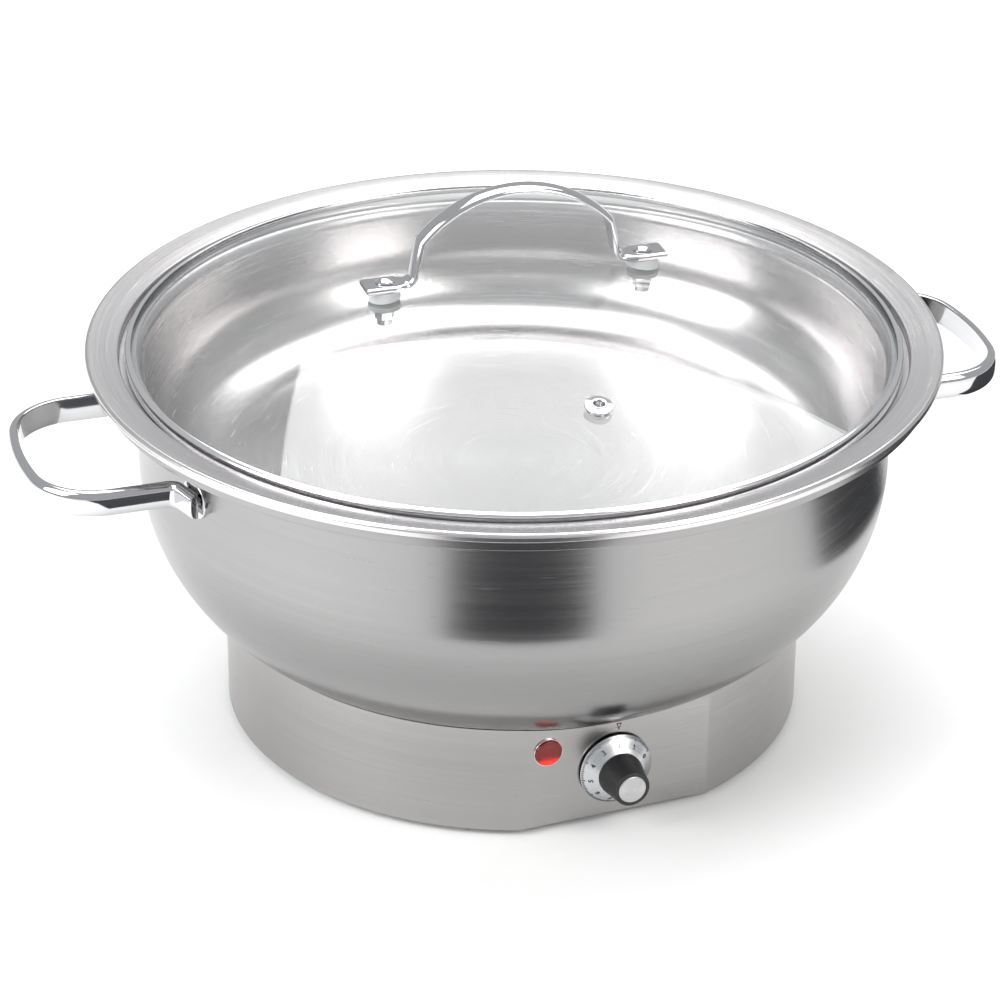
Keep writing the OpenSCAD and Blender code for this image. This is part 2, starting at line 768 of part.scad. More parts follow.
module food_pan() {
    bend_x = food_r + ledge_bend_r;
    bend_z = ledge_z - ledge_bend_r;
    edge_x = flange_r - flange_edge_r;
    edge_z = flange_rim_z - flange_edge_r;
    fillet_x = food_r - food_fillet_r;
    fillet_z = food_floor_z + food_fillet_r;
    color("silver") rotate_extrude($fn = 180) polygon(concat(
        [[0, food_floor_z]],
        arc(fillet_x, fillet_z, food_fillet_r, -90, 0, 24),
        arc(bend_x, bend_z, ledge_bend_r, 180, 90, 8),
        [[ledge_r, ledge_z], [ledge_r, flange_inner_z - 1]],
        arc(ledge_r + 1, flange_inner_z - 1, 1, 180, 100, 4),
        arc(edge_x, edge_z, flange_edge_r, 100, 0, 8),
        [[flange_r, skirt_low_z], [flange_r - pan_t, skirt_low_z]],
        arc(edge_x, edge_z, flange_edge_r - pan_t, 0, 100, 6),
        [[ledge_r + pan_t + 0.4, flange_inner_z - pan_t], [ledge_r + pan_t, flange_inner_z - pan_t - 0.4]],
        [[ledge_r + pan_t, ledge_z - pan_t]],
        arc(bend_x, bend_z, ledge_bend_r - pan_t, 90, 180, 8),
        arc(fillet_x, fillet_z, food_fillet_r + pan_t, 0, -90, 24),
        [[0, food_floor_z - pan_t]]));
}

// Places its children on the lid, as the lid lies
module on_lid() {
    rotate([0, 0, lid_turn]) children();
}

// Places its children at both of the lid handle's screws
module at_lid_screws() {
    on_lid() for (side = [-1, 1]) translate([side * lid_screw_x, 0, 0]) children();
}

// Places its children on the outer surface of the glass at the vent, square to it
module at_vent() {
    on_lid() translate([0, 0, dome_z]) rotate([vent_tilt, 0, 0]) translate([0, 0, dome_r]) children();
}

// Full sphere sections of the glass, cut to the lid's edge
module dome_shell(r_out, r_in, edge_r) {
    low_out = acos(edge_r / r_out);
    low_in = acos(edge_r / r_in);
    rotate_extrude($fn = 180) polygon(concat(
        arc(0, dome_z, r_out, 90, low_out, 24),
        arc(0, dome_z, r_in, low_in, 90, 24)));
}

module lid_glass() {
    color("lightcyan") difference() {
        on_lid() dome_shell(dome_r, dome_r - glass_t, glass_edge_r);
        at_lid_screws() translate([0, 0, 200]) cylinder(r = lid_hole_r, h = 30);
        at_vent() translate([0, 0, -20]) cylinder(r = 4.4, h = 30);
    }
}

module lid_rim() {
    glass_edge_top = dome_z + sqrt(dome_r * dome_r - glass_edge_r * glass_edge_r);
    glass_edge_low = dome_z + sqrt(pow(dome_r - glass_t, 2) - glass_edge_r * glass_edge_r);
    lip_r = 178.6;
    lip_z = dome_z + sqrt(dome_r * dome_r - lip_r * lip_r) + 0.05;
    color("silver") on_lid() rotate_extrude($fn = 180) polygon(concat(
        [[175.2, glass_edge_low - 0.85], [band_r - 0.8, glass_edge_low - 0.85]],
        [[band_r, glass_edge_low - 0.2], [band_r, glass_edge_top - 0.4]],
        arc(band_r - 1.4, glass_edge_top - 0.4, 1.4, 0, 70, 5),
        [[lip_r + 0.3, lip_z + 0.75], [lip_r, lip_z + 0.5], [lip_r, lip_z]],
        [[glass_edge_r + 0.1, glass_edge_top + 0.05], [glass_edge_r + 0.1, glass_edge_low]],
        [[175.2, glass_edge_low]]));
}

// Half of the lid handle's centre line in the XZ plane, from the foot's outer end to the top
function lid_handle_half() =
    let (foot_mid_z = lid_foot_z + lid_foot_t / 2,
        low_r = 5,
        leg_x = 48.5,
        arch_r = 61,
        arch_z = lid_handle_top_z - lid_strap_t / 2 - arch_r,
        arch_low = acos(leg_x / arch_r))
    concat(
        [[lid_foot_out_x, foot_mid_z]],
        arc(leg_x + low_r + 1, foot_mid_z + low_r, low_r, -90, -165, 7),
        arc(0, arch_z, arch_r, arch_low + 2, 90, 20));

module lid_handle() {
    half = lid_handle_half();
    other = reversed([for (p = half) if (p[0] > 0.01) [-p[0], p[1]]]);
    color("gainsboro") difference() {
        on_lid() union() {
            translate([0, lid_arch_w / 2, 0]) rotate([90, 0, 0]) linear_extrude(lid_arch_w)
                strap(concat(half, other), lid_strap_t);
            for (side = [-1, 1]) translate([side * lid_screw_x, 0, lid_foot_z]) {
                cylinder(r = lid_foot_w / 2, h = lid_foot_t);
                translate([-8, -lid_foot_w / 2, 0]) cube([16, lid_foot_w, lid_foot_t]);
            }
        }
        at_lid_screws() translate([0, 0, 200]) cylinder(r = 2.6, h = 30);
    }
}

module lid_handle_screws() {
    color("gainsboro") at_lid_screws() {
        translate([0, 0, 204]) cylinder(r = 2.5, h = lid_foot_z + lid_foot_t - 204);
        translate([0, 0, lid_foot_z + lid_foot_t]) rotate_extrude()
            polygon(concat([[0, 0]], arc(0, -3.94, 5.94, 41.5, 90, 8)));
    }
}

module lid_outer_gaskets() {
    color("lightgray") difference() {
        at_lid_screws() translate([0, 0, 208]) difference() {
            cylinder(r = gasket_r, h = lid_foot_z - 208);
            translate([0, 0, -cut]) cylinder(r = 2.6, h = 30);
        }
        rotate_extrude($fn = 180) polygon(concat([[0, 190]], arc(0, dome_z, dome_r + 0.02, 80, 90, 24)));
    }
}

module lid_inner_gaskets() {
    top_z = dome_z + sqrt(pow(dome_r - glass_t, 2) - pow(lid_screw_x + gasket_r, 2));
    color("lightgray") at_lid_screws() translate([0, 0, top_z - 2]) difference() {
        cylinder(r = gasket_r, h = 2);
        translate([0, 0, -cut]) cylinder(r = 2.6, h = 5);
    }
}

module lid_nuts() {
    top_z = dome_z + sqrt(pow(dome_r - glass_t, 2) - pow(lid_screw_x + gasket_r, 2)) - 2;
    color("gainsboro") at_lid_screws() difference() {
        union() {
            translate([0, 0, top_z - 1]) cylinder(r = 6, h = 1);
            translate([0, 0, top_z - 5]) cylinder(r = 4 / cos(30), h = 4.5, $fn = 6);
            translate([0, 0, top_z - 8]) cylinder(r = 3.6, h = 4);
        }
        translate([0, 0, top_z - 6.6]) cylinder(r = 2.55, h = 20);
    }
}

module vent_eyelet() {
    color("silver") at_vent() rotate_extrude() polygon([
        [2.5, -glass_t - 1.2], [5.5, -glass_t - 1.2], [5.5, -glass_t - 0.5], [3.3, -glass_t - 0.5],
        [3.3, 0.5], [6.3, 0.5], [6.3, 1], [5.9, 1.3], [4, 1.4], [3.7, 2], [2.9, 2], [2.5, 1.6]
    ]);
}

module vent_grommet() {
    color("lightgray") at_vent() rotate_extrude() polygon([
        [3.35, -glass_t - 0.45], [5.4, -glass_t - 0.45], [5.4, -glass_t - 0.05], [4.3, -glass_t - 0.05],
        [4.3, 0.1], [6, 0.1], [6, 0.45], [3.35, 0.45]
    ]);
}

base_shell();
base_plate();
base_plate_screws();
rubber_feet();
foot_screws();
foot_nuts();
pan_brackets();
water_pan();
pan_studs();
pan_nuts();
handle_lugs_left();
handle_lugs_right();
side_handle_left();
side_handle_right();
heat_spreader();
heating_element();
element_terminals();
element_clamp_bar();
element_clamp_nut();
heat_shield();
heat_shield_spacers();
thermostat_body();
thermostat_screws();
thermostat_bulb();
bulb_clip();
capillary_tube();
thermal_cutout();
lamp_lens();
lamp_bezel();
lamp_body();
lamp_retainer();
terminal_block();
terminal_block_screws();
earth_stud();
earth_nut();
gland_body();
gland_seal();
gland_dome_nut();
gland_locknut();
live_wires();
neutral_wires();
earth_wire();
lamp_wires();
dial_skirt();
dial_knob();
dial_cap();
dial_grub_screw();
thermostat_shaft();
food_pan();
lid_glass();
lid_rim();
lid_handle();
lid_handle_screws();
lid_outer_gaskets();
lid_inner_gaskets();
lid_nuts();
vent_eyelet();
vent_grommet();
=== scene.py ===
import math

import bmesh
import bpy
from mathutils import Matrix, Vector


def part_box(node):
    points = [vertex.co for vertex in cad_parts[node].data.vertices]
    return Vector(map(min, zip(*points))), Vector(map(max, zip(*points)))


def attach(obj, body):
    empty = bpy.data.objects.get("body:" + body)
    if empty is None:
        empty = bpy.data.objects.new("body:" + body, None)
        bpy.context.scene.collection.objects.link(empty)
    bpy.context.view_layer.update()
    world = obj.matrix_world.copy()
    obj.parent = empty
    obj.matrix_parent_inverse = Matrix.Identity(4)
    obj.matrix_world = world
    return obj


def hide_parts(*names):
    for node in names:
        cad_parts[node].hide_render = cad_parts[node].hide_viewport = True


# Looks of a round electric chafing dish. The CAD frame gives the places and sizes, and the pieces
# that show are rebuilt here with fine meshes and procedural materials. Lengths are in metres.
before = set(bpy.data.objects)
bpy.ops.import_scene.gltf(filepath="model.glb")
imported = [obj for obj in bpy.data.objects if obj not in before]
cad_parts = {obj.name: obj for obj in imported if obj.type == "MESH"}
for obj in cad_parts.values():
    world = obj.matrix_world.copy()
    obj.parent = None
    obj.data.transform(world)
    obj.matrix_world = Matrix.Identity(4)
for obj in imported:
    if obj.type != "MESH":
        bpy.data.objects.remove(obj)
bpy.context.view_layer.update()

MM = 0.001
X, Y, Z = 0, 1, 2
SEGMENTS = 256  # round the axis, for a large turned piece
SHARP = 38  # degrees: an edge that turns more than this stays sharp


# ---------------------------------------------------------------- sizes, from the frame
def low(node, axis):
    """Lowest coordinate of a CAD node along an axis."""
    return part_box(node)[0][axis]


def high(node, axis):
    """Highest coordinate of a CAD node along an axis."""
    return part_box(node)[1][axis]


def middle(node, axis):
    """Middle coordinate of a CAD node along an axis."""
    return (low(node, axis) + high(node, axis)) / 2


PANEL_Y = low("base_shell", Y)
BASE_R = high("base_shell", X)
BASE_LOW_Z = low("base_shell", Z)
BOWL_FLOOR_Z = low("water_pan", Z)
BOWL_FLANGE_Z = high("water_pan", Z)
BEAD_R = high("water_pan", X)
FLANGE_R = high("food_pan", X)
FLANGE_TOP_Z = high("food_pan", Z)
SHEET = 0.8 * MM
FOOD_FLOOR_Z = low("food_pan", Z) + SHEET
GLASS_TOP_Z = high("lid_glass", Z)
BAND_R = high("lid_rim", X)
HANDLE_REACH = 238.5 * MM
HANDLE_Z = middle("side_handle_right", Z)
HANDLE_H = high("side_handle_right", Z) - low("side_handle_right", Z)
DIAL_Z = middle("dial_skirt", Z)
SKIRT_R = high("dial_skirt", X)
LAMP_X, LAMP_Z = middle("lamp_bezel", X), middle("lamp_bezel", Z)
LID_TURN = math.radians(-3)
BOWL_TURN = math.radians(-3.3)

# Bowl of the water pan: flat floor, one arc, slightly tapered wall
BOWL_ARC_R = 95 * MM
BOWL_R = 177.2 * MM
BOWL_ARC_X = BOWL_R - BOWL_ARC_R
BOWL_ARC_Z = BOWL_FLOOR_Z + BOWL_ARC_R
BOWL_NECK_R = 175.6 * MM
LEDGE_Z = 182.5 * MM
SEAT_Z = LEDGE_Z - SHEET - 0.6 * MM
SEAT_WALL_R = 187.4 * MM

# Glass dome
DOME_R = 522 * MM
DOME_Z = GLASS_TOP_Z - DOME_R
GLASS_T = 4 * MM
GLASS_EDGE_R = 180 * MM
VENT_R = 118 * MM
LID_SCREW_X = 62.8 * MM
LID_FOOT_Z = 220.6 * MM
LID_FOOT_T = 3.3 * MM


# ---------------------------------------------------------------- mesh tools
ON_AXIS = 1e-7


def arc(x, y, r, start, end, steps):
    """Points of an arc about (x, y), angles in degrees."""
    angles = [math.radians(start + (end - start) * i / steps) for i in range(steps + 1)]
    return [(x + r * math.cos(a), y + r * math.sin(a)) for a in angles]


def add_object(name, data):
    """Links a mesh, a curve, a light or a camera to the scene as an object."""
    piece = bpy.data.objects.new(name, data)
    bpy.context.scene.collection.objects.link(piece)
    return piece


def finish_mesh(piece, material, sharp=SHARP):
    """Smooth shading with sharp corners kept, and one material."""
    mesh = piece.data
    mesh.polygons.foreach_set("use_smooth", [True] * len(mesh.polygons))
    mesh.set_sharp_from_angle(angle=math.radians(sharp))
    mesh.materials.clear()
    mesh.materials.append(material)
    mesh.update()
    return piece


def mesh_from(name, verts, faces, uvs=None):
    """A mesh object from points and faces, with an optional UV for each face corner."""
    mesh = bpy.data.meshes.new(name)
    mesh.from_pydata(verts, [], faces)
    if uvs:
        layer = mesh.uv_layers.new(name="UVMap")
        flat = [c for face in uvs for corner in face for c in corner]
        layer.data.foreach_set("uv", flat)
    mesh.validate()
    return add_object(name, mesh)


def lathe(name, profile, material, segments=SEGMENTS, sharp=SHARP):
    """A closed (r, z) outline turned about Z; U runs round the axis and V along it, in metres."""
    count = len(profile)
    turns = [2 * math.pi * i / segments for i in range(segments)]
    verts, index = [], {}
    for k, (r, z) in enumerate(profile):
        if r < ON_AXIS:
            index[k] = [len(verts)] * segments
            verts.append((0, 0, z))
        else:
            index[k] = list(range(len(verts), len(verts) + segments))
            verts += [(r * math.cos(t), r * math.sin(t), z) for t in turns]
    reach = max(r for r, _ in profile)
    lengths = [0.0]
    pairs = [(k, (k + 1) % count) for k in range(count)]
    for a, b in pairs:
        lengths.append(lengths[-1] + math.dist(profile[a], profile[b]))
    faces, uvs = [], []
    for step, (a, b) in enumerate(pairs):
        if profile[a][0] < ON_AXIS and profile[b][0] < ON_AXIS:
            continue
        for i in range(segments):
            j = (i + 1) % segments
            u0, u1 = turns[i] * reach, (turns[i] + 2 * math.pi / segments) * reach
            v0, v1 = lengths[step], lengths[step + 1]
            corners = [(index[a][i], (u0, v0)), (index[a][j], (u1, v0)),
                       (index[b][j], (u1, v1)), (index[b][i], (u0, v1))]
            face, uv = [], []
            for vertex, spot in corners:
                if vertex not in face:
                    face.append(vertex)
                    uv.append(spot)
            if len(face) > 2:
                faces.append(face)
                uvs.append(uv)
    piece = mesh_from(name, verts, faces, uvs)
    outward(piece)
    return finish_mesh(piece, material, sharp)


def outward(piece):
    """Turns all faces of a closed mesh outwards."""
    work = bmesh.new()
    work.from_mesh(piece.data)
    bmesh.ops.recalc_face_normals(work, faces=work.faces)
    work.to_mesh(piece.data)
    work.free()


def place(piece, matrix):
    """Moves a piece's points and leaves its object at the origin."""
    piece.data.transform(matrix)
    return piece


def joined(name, pieces):
    """One mesh object made of several, which are removed."""
    work = bmesh.new()
    for piece in pieces:
        work.from_mesh(piece.data)
    mesh = bpy.data.meshes.new(name)
    work.to_mesh(mesh)
    work.free()
    for piece in pieces:
        bpy.data.objects.remove(piece)
    return add_object(name, mesh)


def cut(piece, cutters):
    """Subtracts cutters from a piece, and removes them."""
    for tool in cutters:
        step = piece.modifiers.new("cut", "BOOLEAN")
        step.operation = "DIFFERENCE"
        step.solver = "EXACT"
        step.object = tool
    graph = bpy.context.evaluated_depsgraph_get()
    made = bpy.data.meshes.new_from_object(piece.evaluated_get(graph))
    piece.modifiers.clear()
    piece.data = made
    for tool in cutters:
        bpy.data.objects.remove(tool)
    return piece


def rod(r, low_z, high_z, segments=96):
    """A plain closed rod along Z, used as a cutter."""
    profile = [(0, low_z), (r, low_z), (r, high_z), (0, high_z)]
    return lathe("cutter", profile, cutter_blank, segments)


def loft(name, rings, material, sharp=SHARP):
    """Skins rings of points and caps both ends; U runs along the path and V round the ring."""
    count, size = len(rings), len(rings[0])
    verts = [tuple(p) for ring in rings for p in ring]
    along = [0.0]
    for a, b in zip(rings, rings[1:]):
        mid_a, mid_b = sum(a, Vector()) / size, sum(b, Vector()) / size
        along.append(along[-1] + (mid_b - mid_a).length)
    girth = [0.0]
    for i in range(size):
        girth.append(girth[-1] + (rings[0][(i + 1) % size] - rings[0][i]).length)
    faces, uvs = [], []
    for k in range(count - 1):
        for i in range(size):
            j = (i + 1) % size
            faces.append([k * size + i, k * size + j, (k + 1) * size + j, (k + 1) * size + i])
            uvs.append([(along[k], girth[i]), (along[k], girth[i + 1]),
                        (along[k + 1], girth[i + 1]), (along[k + 1], girth[i])])
    for k, order in ((0, range(size - 1, -1, -1)), (count - 1, range(size))):
        faces.append([k * size + i for i in order])
        uvs.append([(along[k], girth[i]) for i in order])
    piece = mesh_from(name, verts, faces, uvs)
    outward(piece)
    return finish_mesh(piece, material, sharp)


# ---------------------------------------------------------------- materials
def new_material(name):
    """A new material, its principled shader, and its functions that add a node and a link."""
    material = bpy.data.materials.new(name)
    material.use_nodes = True
    nodes, links = material.node_tree.nodes, material.node_tree.links
    shader = nodes["Principled BSDF"]

    def node(kind, **settings):
        made = nodes.new(kind)
        for key, value in settings.items():
            setattr(made, key, value)
        return made

    def link(a, b):
        links.new(a, b)

    return material, shader, node, link


def noise(node, link, vector, scale, detail=2.0, rough=0.5):
    """A noise texture on a vector."""
    made = node("ShaderNodeTexNoise")
    made.inputs["Scale"].default_value = scale
    made.inputs["Detail"].default_value = detail
    made.inputs["Roughness"].default_value = rough
    link(vector, made.inputs["Vector"])
    return made.outputs["Fac"]


def spread(node, link, value, low_in, high_in, low_out, high_out):
    """Maps a value from one range to another."""
    made = node("ShaderNodeMapRange")
    sockets = ("From Min", "From Max", "To Min", "To Max")
    for key, number in zip(sockets, (low_in, high_in, low_out, high_out)):
        made.inputs[key].default_value = number
    link(value, made.inputs["Value"])
    return made.outputs["Result"]


def math_node(node, link, operation, a, b):
    """A math node on two values, each a socket or a number."""
    made = node("ShaderNodeMath", operation=operation)
    for i, value in enumerate((a, b)):
        if isinstance(value, (int, float)):
            made.inputs[i].default_value = value
        else:
            link(value, made.inputs[i])
    return made.outputs[0]


def tint(node, link, factor, dark, light):
    """A colour between two colours."""
    made = node("ShaderNodeMix", data_type="RGBA")
    link(factor, made.inputs["Factor"])
    made.inputs["A"].default_value = (*dark, 1)
    made.inputs["B"].default_value = (*light, 1)
    return made.outputs["Result"]


def stretched(node, link, uv, along, across, turn=0.0):
    """UV scaled along U and V, and turned, so that a noise on it makes lines along U."""
    made = node("ShaderNodeMapping")
    made.inputs["Scale"].default_value = (along, across, 1)
    made.inputs["Rotation"].default_value = (0, 0, turn)
    link(uv, made.inputs["Vector"])
    return made.outputs["Vector"]


def steel(name, dark, light, rough, grain=(6, 2600), rough_swing=0.06, bump=0.02, aniso=0.0):
    """Worked steel: fine grain lines that run along U, cloudy polish, and a few long scratches."""
    material, shader, node, link = new_material(name)
    uv = node("ShaderNodeUVMap", uv_map="UVMap").outputs["UV"]
    place_in = node("ShaderNodeTexCoord").outputs["Object"]
    along, across = grain
    lines = noise(node, link, stretched(node, link, uv, along, across), 1.0, 3.0, 0.62)
    broad = stretched(node, link, uv, along * 0.35, across * 0.08)
    bands = noise(node, link, broad, 1.0, 2.0, 0.5)
    clouds = noise(node, link, place_in, 9.0, 4.0, 0.6)
    slanted = stretched(node, link, uv, 28, 900, turn=0.35)
    scratches = spread(node, link, noise(node, link, slanted, 1.0, 1.0, 0.4), 0.70, 0.76, 0, 1)
    worn = math_node(node, link, "MULTIPLY", lines, 0.55)
    worn = math_node(node, link, "ADD", worn, math_node(node, link, "MULTIPLY", bands, 0.25))
    worn = math_node(node, link, "ADD", worn, math_node(node, link, "MULTIPLY", clouds, 0.20))
    link(tint(node, link, worn, dark, light), shader.inputs["Base Color"])
    polish = spread(node, link, worn, 0.3, 0.7, rough - rough_swing, rough + rough_swing)
    dulled = math_node(node, link, "MULTIPLY", scratches, 0.10)
    link(math_node(node, link, "ADD", polish, dulled), shader.inputs["Roughness"])
    shader.inputs["Metallic"].default_value = 1.0
    shader.inputs["Anisotropic"].default_value = aniso
    if aniso:
        tangent = node("ShaderNodeTangent", direction_type="UV_MAP", uv_map="UVMap")
        link(tangent.outputs["Tangent"], shader.inputs["Tangent"])
    lift = node("ShaderNodeBump")
    lift.inputs["Strength"].default_value = bump
    lift.inputs["Distance"].default_value = 0.05 * MM
    scored = math_node(node, link, "MULTIPLY", scratches, 0.6)
    link(math_node(node, link, "SUBTRACT", lines, scored), lift.inputs["Height"])
    link(lift.outputs["Normal"], shader.inputs["Normal"])
    return material


def plain_surface(name, dark, light, rough, grain=900.0, bump=0.15, metallic=0.0, depth=0.03):
    """A moulded, cast or coated surface: fine grain with clouds of wear. It needs no UV."""
    material, shader, node, link = new_material(name)
    place_in = node("ShaderNodeTexCoord").outputs["Object"]
    fine = noise(node, link, place_in, grain, 3.0, 0.6)
    clouds = noise(node, link, place_in, 40.0, 4.0, 0.6)
    mixed = math_node(node, link, "ADD", math_node(node, link, "MULTIPLY", fine, 0.5),
                      math_node(node, link, "MULTIPLY", clouds, 0.5))
    link(tint(node, link, mixed, dark, light), shader.inputs["Base Color"])
    link(spread(node, link, mixed, 0.3, 0.7, rough - 0.05, rough + 0.05),
         shader.inputs["Roughness"])
    shader.inputs["Metallic"].default_value = metallic
    lift = node("ShaderNodeBump")
    lift.inputs["Strength"].default_value = bump
    lift.inputs["Distance"].default_value = depth * MM
    link(fine, lift.inputs["Height"])
    link(lift.outputs["Normal"], shader.inputs["Normal"])
    return material


def clear_glass(name):
    """Tempered glass: clear, with a faint green and the slightest waviness and smears."""
    material, shader, node, link = new_material(name)
    place_in = node("ShaderNodeTexCoord").outputs["Object"]
    clouds = noise(node, link, place_in, 14.0, 3.0, 0.55)
    link(spread(node, link, clouds, 0.45, 0.8, 0.0, 0.035), shader.inputs["Roughness"])
    link(tint(node, link, clouds, (0.985, 0.995, 0.99), (0.995, 1.0, 0.997)),
         shader.inputs["Base Color"])
    shader.inputs["Transmission Weight"].default_value = 1.0
    shader.inputs["IOR"].default_value = 1.46
    return material


def red_lens(name):
    """Clear red plastic over a lit neon lamp: it glows most along its lower edge."""
    material, shader, node, link = new_material(name)
    place_in = node("ShaderNodeTexCoord").outputs["Object"]
    fine = noise(node, link, place_in, 500.0, 3.0, 0.5)
    link(tint(node, link, fine, (0.16, 0.008, 0.006), (0.26, 0.014, 0.010)),
         shader.inputs["Base Color"])
    link(spread(node, link, fine, 0.3, 0.7, 0.08, 0.16), shader.inputs["Roughness"])
    shader.inputs["Transmission Weight"].default_value = 0.55
    height = node("ShaderNodeSeparateXYZ")
    link(place_in, height.inputs[0])
    bright_z, dim_z = LAMP_Z - 4.6 * MM, LAMP_Z - 2.6 * MM
    glow = spread(node, link, height.outputs["Z"], bright_z, dim_z, 0.85, 0.05)
    link(glow, shader.inputs["Emission Strength"])
    shader.inputs["Emission Color"].default_value = (1.0, 0.035, 0.015, 1)
    shader.inputs["IOR"].default_value = 1.49
    return material


cutter_blank = bpy.data.materials.new("blank")
# Worked steel and spun aluminium
# The bowl's steel has a much darker base colour than the pans' steel: painted shade, which dims
# every reflection it shows.
bowl_steel = steel("bowl_steel", (0.25, 0.248, 0.25), (0.39, 0.385, 0.38), 0.23,
                   aniso=0.65, bump=0.03)
pan_steel = steel("pan_steel", (0.56, 0.545, 0.548), (0.765, 0.745, 0.748), 0.24,
                  aniso=0.3, bump=0.03)
# The drum's steel is also darker than the pans' steel: painted shade, standing in for the dark
# reflections on the drum.
drum_steel = steel("drum_steel", (0.30, 0.293, 0.288), (0.48, 0.468, 0.46), 0.24,
                   grain=(5, 2200), aniso=0.7)
polished_steel = steel("polished_steel", (0.52, 0.52, 0.53), (0.72, 0.72, 0.73), 0.07,
                       grain=(12, 900), rough_swing=0.03, bump=0.008)
band_steel = steel("band_steel", (0.70, 0.70, 0.71), (0.88, 0.88, 0.89), 0.13,
                   rough_swing=0.04, bump=0.015)
spun_aluminium = steel("spun_aluminium", (0.50, 0.51, 0.53), (0.72, 0.73, 0.75), 0.26,
                       grain=(14, 4200), aniso=0.6, bump=0.10)
spun_cap = steel("spun_cap", (0.42, 0.42, 0.43), (0.66, 0.66, 0.67), 0.28,
                 grain=(10, 6500), aniso=0.9, bump=0.22)
bezel_bright = steel("bezel_bright", (0.70, 0.69, 0.68), (0.86, 0.85, 0.84), 0.16,
                     grain=(10, 2000), bump=0.01)

# Glass, plastics, rubber and print
glass = clear_glass("lid_glass_clear")
red = red_lens("lamp_red")
knob_black = plain_surface("knob_black", (0.006, 0.006, 0.007), (0.018, 0.018, 0.020), 0.46,
                           grain=1800, bump=0.35)
print_black = plain_surface("print_black", (0.012, 0.012, 0.014), (0.03, 0.03, 0.034), 0.5,
                            grain=2500, bump=0.1)
print_brown = plain_surface("print_brown", (0.10, 0.045, 0.035), (0.17, 0.09, 0.075), 0.5,
                            grain=2500, bump=0.1)
black_rubber = plain_surface("black_rubber", (0.012, 0.012, 0.012), (0.035, 0.035, 0.035), 0.7,
                             grain=700, bump=0.4)
black_plastic = plain_surface("black_plastic", (0.010, 0.010, 0.011), (0.030, 0.030, 0.032),
                              0.45, grain=1300)
pale_plastic = plain_surface("pale_plastic", (0.62, 0.60, 0.55), (0.74, 0.72, 0.67), 0.5,
                             grain=800)
silicone = plain_surface("silicone", (0.50, 0.51, 0.52), (0.66, 0.67, 0.68), 0.4, bump=0.1)
wire_brown = plain_surface("wire_brown", (0.10, 0.035, 0.015), (0.17, 0.065, 0.03), 0.45)
wire_blue = plain_surface("wire_blue", (0.01, 0.06, 0.26), (0.02, 0.10, 0.36), 0.45)
wire_green = plain_surface("wire_green", (0.10, 0.34, 0.03), (0.16, 0.46, 0.06), 0.45)

# Hidden metals
copper = plain_surface("copper", (0.55, 0.25, 0.13), (0.75, 0.38, 0.22), 0.28,
                       grain=600, metallic=1.0)
brass = plain_surface("brass", (0.52, 0.37, 0.14), (0.70, 0.52, 0.24), 0.28,
                      grain=700, metallic=1.0)
cast_aluminium = plain_surface("cast_aluminium", (0.42, 0.42, 0.43), (0.60, 0.60, 0.61), 0.5,
                               grain=500, bump=0.4, metallic=1.0, depth=0.06)
dark_oxide = plain_surface("dark_oxide", (0.05, 0.045, 0.04), (0.12, 0.10, 0.09), 0.55,
                           grain=600, metallic=0.6)
zinc_steel = plain_surface("zinc_steel", (0.38, 0.38, 0.385), (0.56, 0.56, 0.57), 0.3,
                           grain=500, bump=0.2, metallic=1.0)

# The studio
floor_white = plain_surface("floor_white", (0.80, 0.80, 0.80), (0.84, 0.84, 0.84), 0.6,
                            grain=60, bump=0.02)
card_dark = plain_surface("card_dark", (0.010, 0.011, 0.014), (0.02, 0.022, 0.028), 0.8,
                          grain=60, bump=0.02)


# ---------------------------------------------------------------- pans
def bowl_underside(r):
    """Height of the bowl's outside at a distance from the axis."""
    if r <= BOWL_ARC_X:
        return BOWL_FLOOR_Z
    return BOWL_ARC_Z - math.sqrt(BOWL_ARC_R ** 2 - (r - BOWL_ARC_X) ** 2)


def water_pan():
    """The bowl: its neck bends out to a seat, and a flange with a rolled bead."""
    bend = 4.4 * MM
    neck_z = SEAT_Z - bend - SHEET
    neck_x = BOWL_NECK_R + bend
    bead = 1.6 * MM
    low_bead = BOWL_FLANGE_Z - 5.2 * MM
    outline = [(0, BOWL_FLOOR_Z)]
    outline += arc(BOWL_ARC_X, BOWL_ARC_Z, BOWL_ARC_R, -90, 0, 96)
    outline += arc(neck_x, neck_z, bend, 180, 90, 10)
    outline += arc(SEAT_WALL_R - SHEET / 2, SEAT_Z - SHEET / 2, 1.2 * MM, -90, 0, 6)
    outline += [(SEAT_WALL_R + SHEET, BOWL_FLANGE_Z - SHEET),
                (BEAD_R - 2 * SHEET, BOWL_FLANGE_Z - SHEET),
                (BEAD_R - SHEET, BOWL_FLANGE_Z - 2 * SHEET)]
    outline += arc(BEAD_R - SHEET / 2, low_bead + SHEET / 2, SHEET / 2, 180, 360, 6)
    outline += arc(BEAD_R - bead, BOWL_FLANGE_Z - bead, bead, 0, 90, 10)
    outline += [(SEAT_WALL_R, BOWL_FLANGE_Z), (SEAT_WALL_R, SEAT_Z)]
    outline += arc(neck_x, neck_z, bend + SHEET, 90, 180, 10)
    outline += arc(BOWL_ARC_X, BOWL_ARC_Z, BOWL_ARC_R - SHEET, 0, -90, 96)
    outline += [(0, BOWL_FLOOR_Z + SHEET)]
    piece = lathe("water_pan_bowl", outline, bowl_steel)
    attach(piece, "base")
    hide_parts("water_pan")


